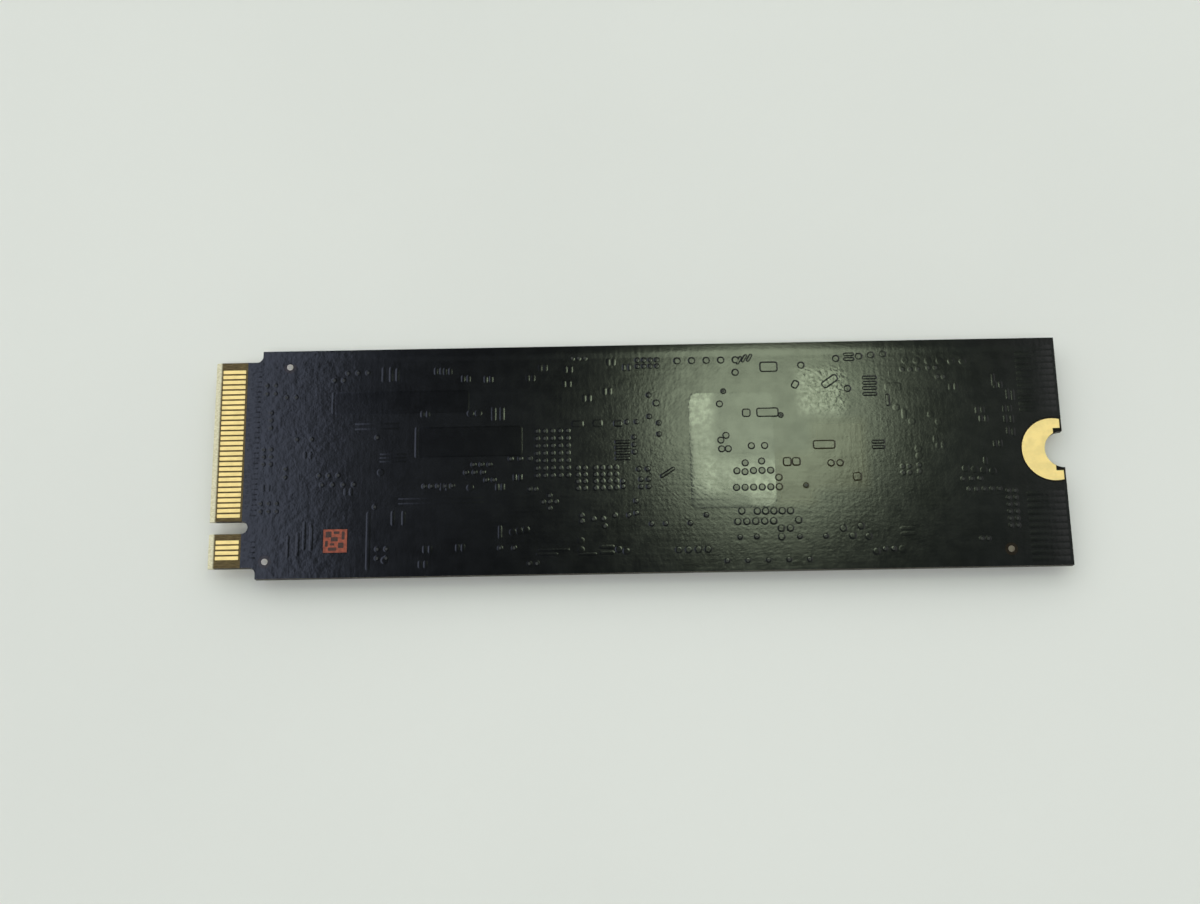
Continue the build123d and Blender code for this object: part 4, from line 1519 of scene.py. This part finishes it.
def moulded_body(name, node, finish_name, edge, corner, short=0.0):
    """A moulded block under the board: its outline carried down its sides and in over a rounded edge."""
    middle, size = seats(node)
    size[:, 2] -= short
    tall = size[:, 2]
    edge = min(edge, LARGEST_EDGE * size.min())
    turn = np.linspace(0.0, RIGHT_ANGLE, 4)
    offsets = np.concatenate([[0.0], edge * (np.cos(turn) - 1), [-FACE_INSET * edge]])
    heights = np.concatenate([edge * (1 - np.sin(turn)), [0.0]])
    falls = np.concatenate([np.zeros((len(tall), 1)), heights - tall[:, None]], axis=1)
    shape = carried_outlines(middle, size[:, :2] / 2, corner, 0.0, profiles(offsets, falls), 2)
    return add_piece(name, [shape], finish(finish_name), (node,))


def moulding(name, part, corner):
    """A chip's moulded block, short by the step of its first-pin mark."""
    edge = bpy.context.scene.drive_package.edge_round
    made = f"{name}_moulding"
    return moulded_body(made, f"{name}_{part}", "moulded_cap", edge, corner, MARK_STEP * MM)


class DRIVE_OT_packages(bpy.types.Operator):
    """Builds the moulded caps with their first-pin marks, and the round solder balls"""

    bl_idname = "drive_card.packages"
    bl_label = "Packages"

    def execute(self, context):
        settings = context.scene.drive_package
        marks = []
        for name in PACKAGES:
            moulding(name, "cap", PACKAGE_CORNER * MM)
            paint(finish("package_laminate"), f"{name}_substrate")
            self.balls(name, settings.ball_bulge)
            low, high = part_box(f"{name}_cap")
            marks.append((low.x + MARK_INSET * MM, high.y - MARK_INSET * MM, low.z))
        rise = low_step(MARK_FOOT, MARK_STEP / 2, MARK_FACE, MARK_STEP / 2)
        shape = carried_outlines(marks, MARK_HALF * MM, MARK_CORNER * MM, 0.0, rise, 6)
        add_piece("first_pin_marks", [shape], finish("laser_mark"))
        return {"FINISHED"}

    def balls(self, name, bulge):
        """Solder balls squeezed between board and package: the radius swells by a half sine wave."""
        node = f"{name}_solder_balls"
        middle, size = seats(node, hanging=False)
        share = np.linspace(0.0, 1.0, 6)
        profile = np.column_stack([bulge * (np.sin(math.pi * share) - BALL_DRAW), share * size[0, 2]])
        half = size[0, 0] / 2
        shape = carried_outlines(middle, half, BALL_CORNER * half, 0.0, profile, 1)
        add_piece(f"{name}_balls", [shape], finish("solder_metal"), (node,), sharp=BALL_SHARP)


class DRIVE_OT_chips(bpy.types.Operator):
    """Builds the leadless chips and the clock crystal"""

    bl_idname = "drive_card.chips"
    bl_label = "Chips and crystal"

    def execute(self, context):
        marks = []
        for name in CHIPS:
            moulding(name, "body", CHIP_CORNER * MM)
            paint(finish("dull_tin"), f"{name}_pads")
            low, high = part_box(f"{name}_body")
            inset = CHIP_MARK_INSET * (high.x - low.x)
            marks.append((low.x + inset, high.y - inset, low.z))
        rise = np.array([(0.0, MARK_FOOT), (0.0, MARK_FACE)]) * MM
        shape = carried_outlines(marks, CHIP_MARK_HALF * MM, CHIP_MARK_CORNER * MM, 0.0, rise, 5)
        add_piece("chip_marks", [shape], finish("laser_mark"))
        look = "dark_ceramic"
        moulded_body("crystal_ceramic", "crystal_base", look, CRYSTAL_EDGE * MM, CRYSTAL_CORNER * MM)
        low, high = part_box("crystal_lid")
        half = np.array([(high.x - low.x) / 2, (high.y - low.y) / 2])
        profile = np.array(LID_PROFILE) * np.array([MM, high.z - low.z])
        middle = [((low.x + high.x) / 2, (low.y + high.y) / 2, high.z)]
        shape = carried_outlines(middle, half, LID_CORNER * MM, 0.0, profile, 5)
        add_piece("crystal_cover", [shape], finish("lid_metal"), ("crystal_lid",))
        return {"FINISHED"}


class DRIVE_OT_passives(bpy.types.Operator):
    """Builds the two-terminal parts: bodies, metal ends and the solder at their feet"""

    bl_idname = "drive_card.passives"
    bl_label = "Capacitors, resistors and inductors"

    def execute(self, context):
        feet = []
        for kind, ends, finish_name, slot, edge in PASSIVES:
            moulded_body(f"{kind}_blocks", f"{kind}_bodies", finish_name, edge * MM, edge * MM)
            node = f"{kind}_{ends}"
            moulded_body(f"{kind}_caps", node, "dull_tin", edge * MM, edge * MM)
            feet.append(self.fillet(node))
        add_piece("solder_fillets", feet, finish("solder_metal"))
        return {"FINISHED"}

    def fillet(self, node):
        """Solder foot round a metal end: a hollow curve from the board up the end.

        At a share t of its climb it is (1 - t) squared times the spread out from the end."""
        middle, size = seats(node)
        climb = FOOT_CLIMB * size[:, 2]
        share = np.linspace(0.0, 1.0, 5)
        offsets = FOOT_GAP * MM + FOOT_SPREAD * MM * (1 - share) ** 2
        profile = profiles(offsets, -share * climb[:, None])
        return carried_outlines(middle, size[:, :2] / 2, FOOT_CORNER * MM, 0.0, profile, 1)


OPERATORS = (
    DRIVE_OT_stage,
    DRIVE_OT_board,
    DRIVE_OT_flat_places,
    DRIVE_OT_covered_pads,
    DRIVE_OT_traces,
    DRIVE_OT_contacts,
    DRIVE_OT_copper_field,
    DRIVE_OT_packages,
    DRIVE_OT_chips,
    DRIVE_OT_passives,
)

SETTINGS = {
    "drive_lacquer": LacquerSettings,
    "drive_metal": MetalSettings,
    "drive_package": PackageSettings,
    "drive_stage": StageSettings,
}


class DRIVE_PT_card(bpy.types.Panel):
    """Sizes, colours and pieces of the drive card"""

    bl_label = "Drive card"
    bl_idname = "DRIVE_PT_card"
    bl_space_type = "VIEW_3D"
    bl_region_type = "UI"
    bl_category = "Drive card"

    def draw(self, context):
        for name, group in SETTINGS.items():
            box = self.layout.box()
            for key in group.__annotations__:
                box.prop(getattr(context.scene, name), key)
        for operator in OPERATORS:
            self.layout.operator(operator.bl_idname)


def register():
    for name, group in SETTINGS.items():
        bpy.utils.register_class(group)
        setattr(bpy.types.Scene, name, bpy.props.PointerProperty(type=group))
    for held in (*OPERATORS, DRIVE_PT_card):
        bpy.utils.register_class(held)


def unregister():
    for held in (DRIVE_PT_card, *reversed(OPERATORS)):
        bpy.utils.unregister_class(held)
    for name, group in SETTINGS.items():
        delattr(bpy.types.Scene, name)
        bpy.utils.unregister_class(group)


def main():
    register()
    for operator in OPERATORS:
        group, name = operator.bl_idname.split(".")
        getattr(getattr(bpy.ops, group), name)()


if __name__ == "__main__":
    main()
